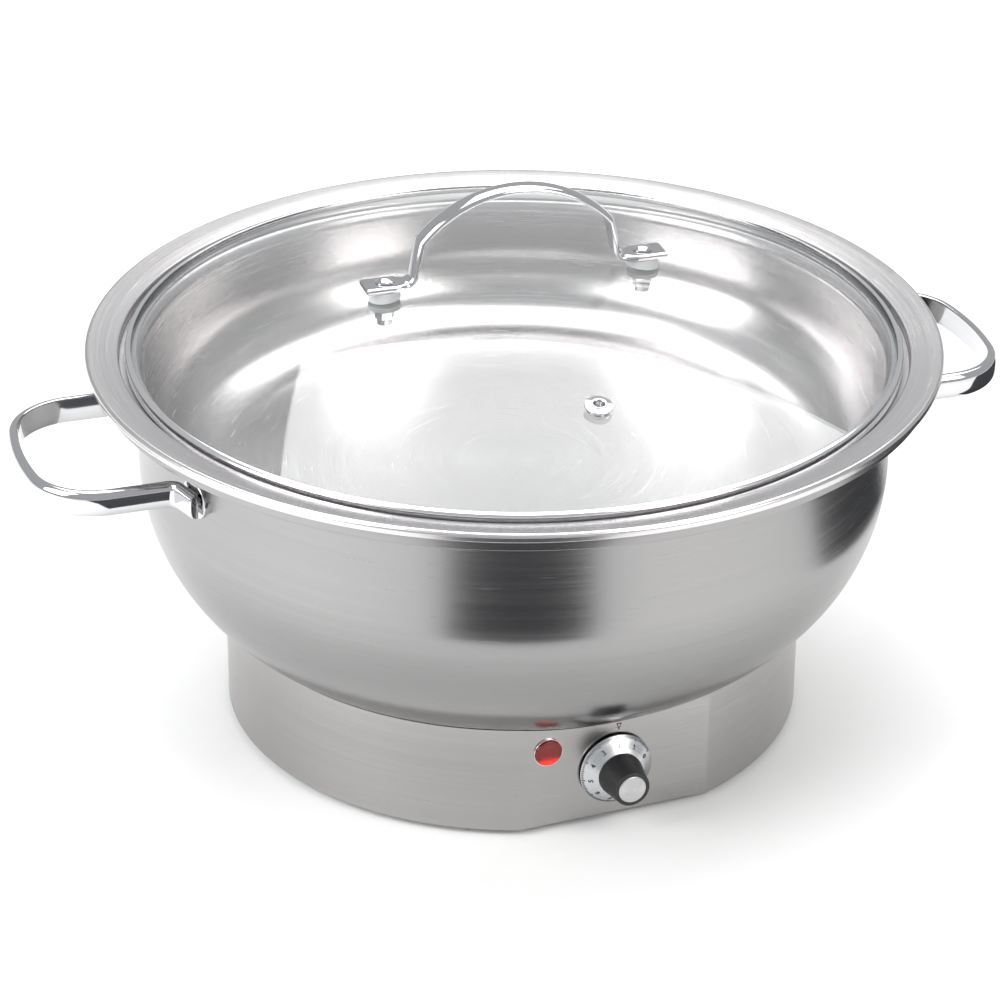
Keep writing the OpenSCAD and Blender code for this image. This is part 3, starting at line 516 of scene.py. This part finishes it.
def food_pan():
    """The food pan: a dished well, a ledge for the lid, and a broad, slightly sloping flange."""
    food_r, fillet = 172 * MM, 37 * MM
    bend = 6 * MM
    edge = 1.8 * MM
    ledge_r = 184.4 * MM
    inner_z = 187.2 * MM
    skirt_z = 185.8 * MM
    edge_x, edge_z = FLANGE_R - edge, FLANGE_TOP_Z - edge
    bend_x, bend_z = food_r + bend, LEDGE_Z - bend
    fillet_x, fillet_z = food_r - fillet, FOOD_FLOOR_Z + fillet
    outline = [(0, FOOD_FLOOR_Z)]
    outline += arc(fillet_x, fillet_z, fillet, -90, 0, 48)
    outline += arc(bend_x, bend_z, bend, 180, 90, 14)
    outline += arc(ledge_r - 0.5 * MM, LEDGE_Z + 0.5 * MM, 0.5 * MM, -90, 0, 4)
    outline += arc(ledge_r + MM, inner_z - MM, MM, 180, 100, 8)
    outline += arc(edge_x, edge_z, edge, 100, 0, 12)
    outline += arc(FLANGE_R - SHEET / 2, skirt_z + SHEET / 2, SHEET / 2, 0, -180, 6)
    outline += arc(edge_x, edge_z, edge - SHEET, 0, 100, 8)
    outline += [(ledge_r + 1.2 * MM, inner_z - SHEET), (ledge_r + SHEET, inner_z - 1.2 * MM)]
    outline += [(ledge_r + SHEET, LEDGE_Z - SHEET)]
    outline += arc(bend_x, bend_z, bend - SHEET, 90, 180, 12)
    outline += arc(fillet_x, fillet_z, fillet + SHEET, 0, -90, 48)
    outline += [(0, FOOD_FLOOR_Z - SHEET)]
    piece = lathe("food_pan_shell", outline, pan_steel, sharp=50)
    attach(piece, "food_pan")
    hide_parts("food_pan")


# ---------------------------------------------------------------- base
def base_outline(inset, edge_r):
    """The drum's outline: a circle with a flat front, the two bends rounded to edge_r."""
    r, flat_y = BASE_R - inset, PANEL_Y + inset
    bend_y = flat_y + edge_r
    bend_x = math.sqrt((r - edge_r) ** 2 - bend_y ** 2)
    start = math.degrees(math.atan2(bend_y, bend_x))
    points = arc(bend_x, bend_y, edge_r, -90, start, 8)
    points += arc(0, 0, r, start, 180 - start, 240)[1:-1]
    points += arc(-bend_x, bend_y, edge_r, 180 - start, 270, 8)
    steps = 60
    points += [(-bend_x + 2 * bend_x * i / steps, flat_y) for i in range(1, steps)]
    return points


def base_shell():
    """The drum: its wall ends under the bowl, and is open for the lamp, the shaft and the gland."""
    wall, lip, under_bowl, rows = 1.0 * MM, 0.3 * MM, 0.3 * MM, 10
    outer, inner = base_outline(0, 2.5 * MM), base_outline(wall, 1.5 * MM)
    outer_low, inner_low = base_outline(lip, 2.2 * MM), base_outline(wall - lip, 1.8 * MM)
    size = len(outer)
    verts, faces, uvs = [], [], []
    lengths = [0.0]
    for a, b in zip(outer, outer[1:] + outer[:1]):
        lengths.append(lengths[-1] + math.dist(a, b))

    def row(points, height):
        made = []
        for x, y in points:
            top = bowl_underside(math.hypot(x, y)) - under_bowl
            made.append((x, y, height(top)))
        return made

    low_z = BASE_LOW_Z + lip
    levels = [row(inner_low, lambda top: BASE_LOW_Z), row(outer_low, lambda top: BASE_LOW_Z)]
    for k in range(rows + 1):
        levels.append(row(outer, lambda top: low_z + (top - low_z) * k / rows))
    levels.append(row(inner, lambda top: top))
    levels.append(row(inner, lambda top: low_z))
    for level in levels:
        verts += level
    total = len(levels)
    for k in range(total):
        nxt = (k + 1) % total
        for i in range(size):
            j = (i + 1) % size
            faces.append([k * size + i, k * size + j, nxt * size + j, nxt * size + i])
            v0, v1 = levels[k][i][2], levels[nxt][i][2]
            if k in (0, total - 1, rows + 2):
                v1 = v0 + wall
            uvs.append([(lengths[i], v0), (lengths[i + 1], v0),
                        (lengths[i + 1], v1), (lengths[i], v1)])
    piece = mesh_from("base_drum", verts, faces, uvs)
    outward(piece)
    lamp_hole_r, shaft_hole_r, gland_hole_r = 5.3 * MM, 4.2 * MM, 8.1 * MM
    holes = ((lamp_hole_r, 10 * MM, (LAMP_X, PANEL_Y, LAMP_Z)),
             (shaft_hole_r, 10 * MM, (0, PANEL_Y, DIAL_Z)),
             (gland_hole_r, 20 * MM, (0, BASE_R, middle("gland_seal", Z))))
    forwards = Matrix.Rotation(math.pi / 2, 4, "X")
    cut(piece, [place(rod(r, -reach, reach), Matrix.Translation(spot) @ forwards)
                for r, reach, spot in holes])
    finish_mesh(piece, drum_steel, sharp=30)
    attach(piece, "base")
    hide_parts("base_shell")


# ---------------------------------------------------------------- lid
def on_lid():
    """The lid's own frame: it lies a little turned on the pan."""
    return Matrix.Rotation(LID_TURN, 4, "Z")


def dome_at(r, drop=0.0):
    """Height of the glass's outer face, or of a face drop below it, at a distance from the axis."""
    return DOME_Z + math.sqrt((DOME_R - drop) ** 2 - r ** 2)


def lid_glass():
    """The glass dome, with its holes for the handle's screws and the vent."""
    low_out = math.degrees(math.acos(GLASS_EDGE_R / DOME_R))
    low_in = math.degrees(math.acos(GLASS_EDGE_R / (DOME_R - GLASS_T)))
    outline = arc(0, DOME_Z, DOME_R, 90, low_out, 64)
    outline += arc(0, DOME_Z, DOME_R - GLASS_T, low_in, 90, 64)
    outline[0] = (0, outline[0][1])
    outline[-1] = (0, outline[-1][1])
    piece = lathe("lid_glass_dome", outline, glass)
    screw_hole_r, vent_hole_r, reach = 4 * MM, 4.4 * MM, 20 * MM
    holes = [place(rod(screw_hole_r, GLASS_TOP_Z - 3 * reach, GLASS_TOP_Z + reach),
                   Matrix.Translation((side * LID_SCREW_X, 0, 0))) for side in (-1, 1)]
    holes.append(place(rod(vent_hole_r, -reach, reach), at_vent()))
    cut(piece, holes)
    finish_mesh(piece, glass)
    place(piece, on_lid())
    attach(piece, "lid")
    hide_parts("lid_glass")


def at_vent():
    """From the vent's own frame, +Z out of the glass, to the lid's."""
    tilt = math.asin(VENT_R / DOME_R)
    turn = Matrix.Rotation(tilt, 4, "X")
    return Matrix.Translation((0, 0, DOME_Z)) @ turn @ Matrix.Translation((0, 0, DOME_R))


def lid_rim():
    """The steel band round the glass: flat below, rounded outside, and a thin lip on top."""
    edge_top, edge_low = dome_at(GLASS_EDGE_R), dome_at(GLASS_EDGE_R, GLASS_T)
    inner_r, lip_r = 175.2 * MM, 178.6 * MM
    lip_z = dome_at(lip_r) + 0.05 * MM
    band_low = edge_low - 0.85 * MM
    outline = [(inner_r, band_low)]
    outline += arc(BAND_R - 0.6 * MM, band_low + 0.6 * MM, 0.6 * MM, -90, 0, 5)
    outline += arc(BAND_R - 1.4 * MM, edge_top - 0.4 * MM, 1.4 * MM, 0, 70, 8)
    outline += [(lip_r + 0.35 * MM, lip_z + 0.75 * MM)]
    outline += arc(lip_r + 0.35 * MM, lip_z + 0.4 * MM, 0.35 * MM, 90, 180, 5)
    outline += [(lip_r, lip_z), (GLASS_EDGE_R + 0.1 * MM, edge_top + 0.05 * MM)]
    outline += [(GLASS_EDGE_R + 0.1 * MM, edge_low), (inner_r, edge_low)]
    piece = lathe("lid_rim_band", outline, band_steel, sharp=50)
    place(piece, on_lid())
    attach(piece, "lid")
    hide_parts("lid_rim")


# ---------------------------------------------------------------- handles
def sweep(name, path, section_at, to_space, material):
    """Sweeps a section along a flat path; section_at(k) gives step k its (out, across) points."""
    rings = []
    for k, (a, b) in enumerate(path):
        before, after = path[max(k - 1, 0)], path[min(k + 1, len(path) - 1)]
        step = math.dist(before, after)
        out_a, out_b = (before[1] - after[1]) / step, (after[0] - before[0]) / step
        rings.append([Vector(to_space(a + out * out_a, b + out * out_b, across))
                      for out, across in section_at(k)])
    return loft(name, rings, material, sharp=40)


def strap_section(thick, height, depth, power, corner):
    """A strap's section: flat inside with small corners, and curved outside by depth.

    The outer face is a superellipse: the higher its power, the squarer it is.
    """
    inside, half, steps = -thick / 2, height / 2, 24
    points = arc(inside + corner, -half + corner, corner, 180, 270, 4)
    root = thick / 2 - depth
    for i in range(steps + 1):
        turn = math.radians(-90 + 180 / steps * i)
        points.append((root + depth * abs(math.cos(turn)) ** (2 / power),
                       math.copysign(half * abs(math.sin(turn)) ** (2 / power), math.sin(turn))))
    points += arc(inside + corner, half - corner, corner, 90, 180, 4)
    return points


def eased(path, depth):
    """Adds a point just inside each end of a path, for the bevel of its ends."""
    def toward(a, b):
        share = depth / math.dist(a, b)
        return (a[0] + (b[0] - a[0]) * share, a[1] + (b[1] - a[1]) * share)
    return [path[0], toward(path[0], path[1])] + path[1:-1] + [toward(path[-1], path[-2]), path[-1]]


def straight(a, b, steps):
    """Points from a to b, both left out."""
    return [(a[0] + (b[0] - a[0]) * i / steps, a[1] + (b[1] - a[1]) * i / steps)
            for i in range(1, steps)]


TAB_R = 181.625 * MM
TAB_Y = 58.5 * MM
STRAP_T = 4.75 * MM
TAB_LEAN = math.asin(TAB_Y / TAB_R)


def side_handle(side):
    """Right (1) or left (-1) handle: a D-section strap with its tabs turned outwards."""
    fold, end, corner, wide = 5 * MM, 6.8 * MM, 30.6 * MM, 104 * MM
    far_turn = 150 * MM
    lean = TAB_LEAN
    along = (math.sin(lean), -math.cos(lean))
    start_y = wide / 2 - STRAP_T / 2 + fold - fold * math.sin(lean)
    slip = (TAB_Y - start_y) / math.cos(lean)
    tab = (TAB_R * math.cos(lean), TAB_Y)
    start = (tab[0] + along[0] * slip, tab[1] + along[1] * slip)
    centre = (start[0] + fold * math.cos(lean), start[1] + fold * math.sin(lean))
    arm_y = centre[1] - fold
    far_x = HANDLE_REACH - STRAP_T / 2
    turn_y = arm_y - corner
    turn_x = far_x - far_turn + math.sqrt((far_turn - corner) ** 2 - turn_y ** 2)
    far_angle = math.degrees(math.atan2(turn_y, turn_x - far_x + far_turn))
    half = [(tab[0] - along[0] * end, tab[1] - along[1] * end)]
    half += straight(half[0], start, 4)
    half += arc(centre[0], centre[1], fold, 180 + math.degrees(lean), 270, 14)
    half += straight(half[-1], (turn_x, arm_y), 8)
    half += arc(turn_x, turn_y, corner, 90, far_angle, 28)
    half += arc(far_x - far_turn, 0, far_turn, far_angle, 0, 8)[1:]
    path = eased(half + [(x, -y) for x, y in reversed(half[:-1])], 0.7 * MM)
    full = strap_section(STRAP_T, HANDLE_H, 3.5 * MM, 2.7, 0.8 * MM)

    def section_at(k):
        if k in (0, len(path) - 1):
            return [(out * 0.74, across * 0.89) for out, across in full]
        return full

    name = "right" if side > 0 else "left"
    piece = sweep("side_handle_strap_" + name, path, section_at,
                  lambda a, b, c: (side * a, b, HANDLE_Z + c), polished_steel)
    place(piece, Matrix.Rotation(BOWL_TURN, 4, "Z"))
    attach(piece, "base")
    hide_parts("side_handle_" + name)


def handle_lugs(side):
    """The two pads and posts that carry one side handle."""
    name = "right" if side > 0 else "left"
    pad_r, pad_half, post_r = 9.3 * MM, 8 * MM, 5 * MM
    pad_out, post_out = 178.05 * MM, TAB_R - STRAP_T / 2
    wall_r, ease, steps = 175.9 * MM, 0.7 * MM, 72

    def ring(x, inset):
        """A circle with flat top and bottom, drawn in by inset."""
        points = []
        for i in range(steps):
            turn = 2 * math.pi * i / steps
            y, z = (pad_r - inset) * math.cos(turn), (pad_r - inset) * math.sin(turn)
            limit = pad_half - inset
            points.append(Vector((x, y, max(-limit, min(limit, z)))))
        return points

    pieces = []
    for turned in (-TAB_LEAN, TAB_LEAN):
        rings = [ring(wall_r, 0), ring(pad_out - ease, 0)]
        rings += [ring(pad_out - ease + ease * math.sin(a), ease * (1 - math.cos(a)))
                  for a in (0.4, 0.8, 1.2, math.pi / 2)]
        rings += [ring(pad_out, pad_r - post_r - 0.6 * MM)]
        rings += [ring(pad_out + 0.3 * MM, pad_r - post_r), ring(post_out, pad_r - post_r)]
        pad = loft("pad", rings, polished_steel, sharp=50)
        place(pad, Matrix.Rotation(turned, 4, "Z") @ Matrix.Translation((0, 0, HANDLE_Z)))
        if side < 0:
            place(pad, Matrix.Scale(-1, 4, Vector((1, 0, 0))))
            outward(pad)
        pieces.append(pad)
    piece = joined("handle_lug_pads_" + name, pieces)
    finish_mesh(piece, polished_steel, sharp=50)
    place(piece, Matrix.Rotation(BOWL_TURN, 4, "Z"))
    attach(piece, "base")
    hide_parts("handle_lugs_" + name)


def lid_handle():
    """The arched strap on the lid, which widens into flat feet, and the rivets through them."""
    foot_z, reach = LID_FOOT_Z + LID_FOOT_T / 2, 73 * MM
    low_r, leg_x, arch_r = 5 * MM, 48.5 * MM, 61 * MM
    top_z = high("lid_handle", Z)
    thick = 3 * MM
    arch_z = top_z - thick / 2 - arch_r
    arch_low = math.degrees(math.acos(leg_x / arch_r)) + 2
    half = [(reach, foot_z)]
    half += straight(half[0], (leg_x + low_r + MM, foot_z), 10)
    half += arc(leg_x + low_r + MM, foot_z + low_r, low_r, -90, -162, 18)
    half += arc(0, arch_z, arch_r, arch_low + 1.5, 90, 40)
    path = eased([(-x, z) for x, z in half] + list(reversed(half[:-1])), 0.5 * MM)
    arch_w, foot_w = 10.5 * MM, 13.8 * MM
    widen_x, widen_length = 51 * MM, 8 * MM

    def section_at(k):
        share = min(1.0, max(0.0, (abs(path[k][0]) - widen_x) / widen_length))
        share = share * share * (3 - 2 * share)
        width = arch_w + (foot_w - arch_w) * share
        depth, power = (2.5 - 1.3 * share) * MM, 2.4 + 2.6 * share
        full = strap_section(thick, width, depth, power, 0.5 * MM)
        if k in (0, len(path) - 1):
            return [(out * 0.72, across * 0.92) for out, across in full]
        return full

    piece = sweep("lid_handle_strap", path, section_at, lambda a, b, c: (a, -c, b),
                  polished_steel)
    place(piece, on_lid())
    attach(piece, "lid")
    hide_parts("lid_handle")
    head_r, head_h, shank_r, low_z = 4.45 * MM, 2 * MM, 2.5 * MM, 204 * MM
    head_low = LID_FOOT_Z + LID_FOOT_T
    ball = (head_r ** 2 + head_h ** 2) / (2 * head_h)
    edge = math.degrees(math.asin((ball - head_h) / ball))
    head_top = head_low + head_h
    profile = [(0, low_z), (shank_r, low_z), (shank_r, head_low), (head_r - 0.15 * MM, head_low)]
    profile += arc(0, head_top - ball, ball, edge + 1.5, 90, 16)[:-1] + [(0, head_top)]
    rivets = [place(lathe("rivet", profile, polished_steel, 64),
                    Matrix.Translation((s * LID_SCREW_X, 0, 0))) for s in (-1, 1)]
    rivets = joined("lid_handle_rivets", rivets)
    finish_mesh(rivets, polished_steel)
    place(rivets, on_lid())
    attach(rivets, "lid")
    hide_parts("lid_handle_screws")


def vent():
    """The steam vent: a turned eyelet with a rolled top."""
    low_z, lip = -GLASS_T, 0.5 * MM
    profile = [(2.5 * MM, low_z - 1.2 * MM), (5.5 * MM, low_z - 1.2 * MM), (5.5 * MM, low_z - lip)]
    profile += [(3.3 * MM, low_z - lip), (3.3 * MM, lip), (6.1 * MM, lip)]
    profile += arc(6 * MM, 0.8 * MM, 0.3 * MM, -60, 80, 6)
    profile += [(4.1 * MM, 1.35 * MM)] + arc(3.2 * MM, 1.3 * MM, 0.7 * MM, 10, 180, 12)
    piece = lathe("vent_turned_eyelet", profile, band_steel, 96)
    place(piece, on_lid() @ at_vent())
    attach(piece, "lid")
    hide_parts("vent_eyelet")


# ---------------------------------------------------------------- dial and lamp
def on_panel(x, z):
    """From a frame on the front panel, +Z out of the panel and +Y up, to the scene."""
    return Matrix.Translation((x, PANEL_Y, z)) @ Matrix.Rotation(math.pi / 2, 4, "X")


# Heights on the dial are above the panel; its scale is in degrees from one figure to the next
SKIRT_TOP = 7 * MM
SKIRT_FLAT_R = 11.2 * MM
SKIRT_RIM_Z = 1.9 * MM
DIGIT_STEP = 33
DIGIT_AT_INDEX = 2


def dial():
    """The dial's aluminium skirt with its print, the tapered knob, and the cap let into it."""
    thick, back = 1.2 * MM, 1.2 * MM
    shaft_r, hub_r = 3.05 * MM, 6 * MM
    profile = [(shaft_r, 2 * MM), (hub_r, 2 * MM), (hub_r, SKIRT_TOP - thick)]
    profile += [(SKIRT_FLAT_R - 0.5 * MM, SKIRT_TOP - thick), (SKIRT_R - thick, back)]
    profile += [(SKIRT_R - 0.2 * MM, back)]
    profile += arc(SKIRT_R - 0.25 * MM, SKIRT_RIM_Z - 0.25 * MM, 0.25 * MM, 0, 50, 5)
    profile += straight((SKIRT_R - 0.1 * MM, SKIRT_RIM_Z), (SKIRT_FLAT_R, SKIRT_TOP), 8)
    profile += arc(SKIRT_FLAT_R - 0.5 * MM, SKIRT_TOP - 0.5 * MM, 0.5 * MM, 40, 90, 4)
    profile += [(shaft_r, SKIRT_TOP)]
    skirt = lathe("dial_skirt_cone", profile, spun_aluminium, 192)
    foot_r, end_r, cap_r = 10.6 * MM, 8.6 * MM, 6.65 * MM
    reach, ease = 21.4 * MM, 0.7 * MM
    recess = reach - 0.8 * MM
    taper_end = (end_r + 0.3 * MM, reach - 3 * MM)
    profile = [(0, SKIRT_TOP), (foot_r - 0.2 * MM, SKIRT_TOP), (foot_r, SKIRT_TOP + 0.2 * MM)]
    profile += [(foot_r, SKIRT_TOP + 1.2 * MM)]
    profile += straight(profile[-1], taper_end, 12) + [taper_end]
    profile += arc(end_r - ease, reach - ease, ease, 8, 90, 8)
    profile += [(cap_r + 0.12 * MM, reach), (cap_r + 0.05 * MM, reach - 0.07 * MM)]
    profile += [(cap_r + 0.05 * MM, recess), (0, recess)]
    knob = lathe("dial_knob_body", profile, knob_black, 160)
    cap_top = recess + 0.9 * MM
    profile = [(0, recess), (cap_r, recess), (cap_r, cap_top - 0.2 * MM)]
    profile += [(cap_r - 0.2 * MM, cap_top)]
    profile += straight(profile[-1], (0, cap_top), 12) + [(0, cap_top)]
    cap = lathe("dial_cap_disc", profile, spun_cap, 160)
    marks = dial_marks()
    for piece, node, slot in ((skirt, "dial_skirt", "dial_aluminium"),
                              (knob, "dial_knob", "knob_black"),
                              (cap, "dial_cap", "dial_aluminium"),
                              (marks, None, "knob_black")):
        place(piece, on_panel(0, DIAL_Z))
        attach(piece, "dial")
        if node:
            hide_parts(node)


def dial_marks():
    """Graduation lines and the figures 0 to 9 on the dial's cone."""
    down = Vector((SKIRT_R - SKIRT_FLAT_R, 0, SKIRT_RIM_Z - SKIRT_TOP)).normalized()
    up = Vector((-down.z, 0, down.x))
    proud, deep = 0.07 * MM, 0.12 * MM
    digit_r, digit_size, bolder = 13.7 * MM, 3.4 * MM, 0.05 * MM

    def at(r, angle):
        """Frame on the cone: X along the rim, Y down the slope, Z out of it."""
        share = (SKIRT_R - r) / (SKIRT_R - SKIRT_FLAT_R)
        spot = Vector((r, 0, SKIRT_RIM_Z + share * (SKIRT_TOP - SKIRT_RIM_Z))) + up * proud
        side = down.cross(up)
        axes = Matrix((side, down, up)).transposed().to_4x4()
        return Matrix.Rotation(math.radians(angle), 4, "Z") @ Matrix.Translation(spot) @ axes

    def angle_of(value):
        """Angle of a scale value; the one that shows above the dial is straight up."""
        return 90 + (value - DIGIT_AT_INDEX) * DIGIT_STEP

    parts = []
    per_digit = 10
    for k in range(9 * per_digit + 1):
        angle = angle_of(k / per_digit)
        long, wide = 1.15 * MM, 0.34 * MM
        if k % per_digit == 0:
            long, wide = 1.9 * MM, 0.42 * MM
        elif k % (per_digit // 2) == 0:
            long = 1.5 * MM
        corners = [(-wide / 2, -long), (wide / 2, -long), (wide / 2, 0), (-wide / 2, 0)]
        verts = [(x, y, z) for z in (-deep, 0) for x, y in corners]
        faces = [(3, 2, 1, 0), (4, 5, 6, 7)]
        faces += [(i, (i + 1) % 4, 4 + (i + 1) % 4, 4 + i) for i in range(4)]
        parts.append(place(mesh_from("tick", verts, faces), at(SKIRT_R - 0.2 * MM, angle)))
    for digit in range(10):
        curve = bpy.data.curves.new("digit", "FONT")
        curve.body = str(digit)
        curve.size = digit_size
        curve.align_x = curve.align_y = "CENTER"
        curve.extrude = deep / 2
        curve.offset = bolder
        made = add_object("digit", curve)
        bpy.context.view_layer.update()
        graph = bpy.context.evaluated_depsgraph_get()
        mesh = bpy.data.meshes.new_from_object(made.evaluated_get(graph))
        bpy.data.objects.remove(made)
        parts.append(place(add_object("digit", mesh), at(digit_r, angle_of(digit))))
    piece = joined("dial_marks", parts)
    finish_mesh(piece, print_black)
    return piece


def index_mark():
    """The small outlined triangle printed above the dial, which points down at its scale."""
    x, top, tip, half, hollow = 1.8 * MM, 22.9 * MM, 19.0 * MM, 1.4 * MM, 0.48
    outer = [(x - half, top), (x, tip), (x + half, top)]
    centre_y = top - (top - tip) / 3
    inner = [(x + (a - x) * hollow, centre_y + (b - centre_y) * hollow) for a, b in outer]
    under, face = 0.01 * MM, 0.05 * MM
    verts = [(a, b, z) for z in (under, face) for ring in (outer, inner) for a, b in ring]
    faces = []
    for i in range(3):
        j = (i + 1) % 3
        faces += [(i, j, 3 + j, 3 + i), (6 + i, 9 + i, 9 + j, 6 + j)]
        faces += [(i, 6 + i, 6 + j, j), (3 + i, 3 + j, 9 + j, 9 + i)]
    piece = mesh_from("index_triangle", verts, faces)
    outward(piece)
    finish_mesh(piece, print_brown)
    place(piece, on_panel(0, DIAL_Z))
    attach(piece, "base")


def pilot_lamp():
    """The lamp's thin bright bezel and its domed red lens, whose stem runs back into the body."""
    lens_r = high("lamp_lens", X) - LAMP_X
    bezel_r = high("lamp_bezel", X) - LAMP_X
    hole_r, stem_r, lens_edge_r, seat_r = 4.5 * MM, 4.4 * MM, 4.9 * MM, lens_r + 0.08 * MM
    seat_z, stem_low, lens_top, dome = 0.3 * MM, -4 * MM, 2.1 * MM, 22 * MM
    profile = [(hole_r, 0), (bezel_r, 0), (bezel_r, 0.6 * MM)]
    profile += arc(bezel_r - 0.2 * MM, 0.6 * MM, 0.2 * MM, 0, 120, 5)
    profile += [(seat_r, 0.7 * MM), (seat_r, seat_z), (hole_r, seat_z)]
    bezel = lathe("lamp_bezel_ring", profile, bezel_bright, 128)
    profile = [(0, stem_low), (stem_r, stem_low), (stem_r, seat_z), (lens_r, seat_z)]
    profile += arc(lens_r - 0.9 * MM, 0.9 * MM, 0.9 * MM, -20, 60, 10)
    dome_start = 90 - math.degrees(math.asin(lens_edge_r / dome))
    profile += arc(0, lens_top - dome, dome, dome_start, 90, 14)[:-1] + [(0, lens_top)]
    lens = lathe("lamp_lens_dome", profile, red, 128)
    for piece, node, slot in ((bezel, "lamp_bezel", "polished_steel"),
                              (lens, "lamp_lens", "lamp_red")):
        place(piece, on_panel(LAMP_X, LAMP_Z))
        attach(piece, "base")
        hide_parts(node)


water_pan()
food_pan()
base_shell()
lid_glass()
lid_rim()
for side_sign in (-1, 1):
    side_handle(side_sign)
    handle_lugs(side_sign)
lid_handle()
vent()
dial()
index_mark()
pilot_lamp()

# CAD nodes that stay as they are, by material; the others are plain zinc-coated steel
KEPT_LOOKS = (
    (black_rubber, ("rubber_feet", "gland_seal")),
    (black_plastic, ("gland_body", "gland_dome_nut", "gland_locknut", "thermostat_body")),
    (pale_plastic, ("lamp_body", "lamp_retainer", "terminal_block", "thermal_cutout")),
    (silicone, ("lid_outer_gaskets", "lid_inner_gaskets", "vent_grommet")),
    (copper, ("capillary_tube", "thermostat_bulb")),
    (brass, ("earth_stud", "earth_nut", "thermostat_shaft")),
    (cast_aluminium, ("heat_spreader", "element_clamp_bar")),
    (dark_oxide, ("heating_element",)),
    (wire_brown, ("live_wires",)),
    (wire_blue, ("neutral_wires", "lamp_wires")),
    (wire_green, ("earth_wire",)),
)
for material, names in KEPT_LOOKS:
    for name in names:
        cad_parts[name].data.materials.clear()
        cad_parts[name].data.materials.append(material)
for name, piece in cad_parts.items():
    if not piece.data.materials:
        piece.data.materials.append(zinc_steel)


# ---------------------------------------------------------------- camera, lights and floor
LIGHT_AIM = Vector((0, 0, 0.12))


def direction(azimuth, elevation):
    """Unit vector out from the dish. Azimuth 0 is in front of the panel, 90 to its right."""
    return Vector((math.sin(azimuth) * math.cos(elevation),
                   -math.cos(azimuth) * math.cos(elevation), math.sin(elevation)))


def add_camera():
    """Camera at the photograph's angle: it looks down on the dish from the front left."""
    azimuth, elevation, roll = math.radians(-21.18), math.radians(27.74), math.radians(0.38)
    distance, sideways, target_z = 1.705, -6.14 * MM, 101.06 * MM
    back = direction(azimuth, elevation)
    right = Vector((math.cos(azimuth), math.sin(azimuth), 0))
    up = back.cross(right)
    target = right * sideways + Vector((0, 0, target_z))
    turned_right = right * math.cos(roll) + up * math.sin(roll)
    turned_up = up * math.cos(roll) - right * math.sin(roll)
    camera = add_object("camera", bpy.data.cameras.new("camera"))
    camera.data.sensor_width = 36
    camera.data.lens = 128.15
    camera.data.clip_start = 0.05
    axes = Matrix((turned_right, turned_up, back)).transposed().to_4x4()
    camera.matrix_world = Matrix.Translation(target + back * distance) @ axes
    bpy.context.scene.camera = camera


def softbox(name, azimuth, elevation, distance, width, height, watts, color=(1, 1, 1)):
    """A large soft light that looks at the dish."""
    away = direction(math.radians(azimuth), math.radians(elevation)) * distance
    data = bpy.data.lights.new(name, "AREA")
    data.shape = "RECTANGLE"
    data.size, data.size_y = width, height
    data.energy = watts
    data.color = color
    lamp = add_object(name, data)
    lamp.location = LIGHT_AIM + away
    lamp.rotation_mode = "QUATERNION"
    lamp.rotation_quaternion = (-away).to_track_quat("-Z", "Y")


def stage_sheet(name, corners, cells, material):
    """A flat sheet of the studio between four corners, which isn't part of the object."""
    a, b, c, d = [Vector(corner) for corner in corners]
    verts = []
    for i in range(cells + 1):
        left, right = a.lerp(d, i / cells), b.lerp(c, i / cells)
        verts += [tuple(left.lerp(right, k / cells)) for k in range(cells + 1)]
    row = cells + 1
    faces = [(i * row + k, i * row + k + 1, (i + 1) * row + k + 1, (i + 1) * row + k)
             for i in range(cells) for k in range(cells)]
    sheet = mesh_from(name, verts, faces)
    finish_mesh(sheet, material)
    return sheet


def add_floor():
    """A wide, flat, pale floor."""
    half = 6.0
    corners = [(-half, -half, 0), (half, -half, 0), (half, half, 0), (-half, half, 0)]
    stage_sheet("floor", corners, 24, floor_white)


def dark_card(name, near, far, azimuths):
    """A dark card just over the floor, as a studio flag: only reflections in the steel see it.

    Its corners lie at four azimuths, the first two near the dish and the others far from it.
    """
    lift = Vector((0, 0, 1.5 * MM))
    corners = [direction(math.radians(azimuth), 0) * r + lift
               for azimuth, r in zip(azimuths, (near, near, far, far))]
    card = stage_sheet(name, corners, 6, card_dark)
    card.visible_camera = card.visible_diffuse = False
    card.visible_shadow = card.visible_transmission = False


def add_world():
    """Even studio light from all round."""
    world = bpy.data.worlds.new("studio")
    world.use_nodes = True
    background = world.node_tree.nodes["Background"]
    background.inputs["Color"].default_value = (0.96, 0.98, 1.0, 1)
    background.inputs["Strength"].default_value = 0.55
    bpy.context.scene.world = world


add_camera()
add_floor()
dark_card("card_front", 0.327, 1.6, (-36, -4, 2, -38))
dark_card("card_right", 0.32, 1.5, (62, 102, 112, 62))
add_world()
softbox("softbox_left", -85, 32, 2.0, 1.3, 1.6, 42)
softbox("softbox_right", 28, 35, 2.1, 0.9, 1.4, 22, (1.0, 0.98, 0.95))
softbox("softbox_top", 150, 68, 1.9, 1.8, 1.8, 40)
bpy.context.scene.view_settings.view_transform = "Standard"
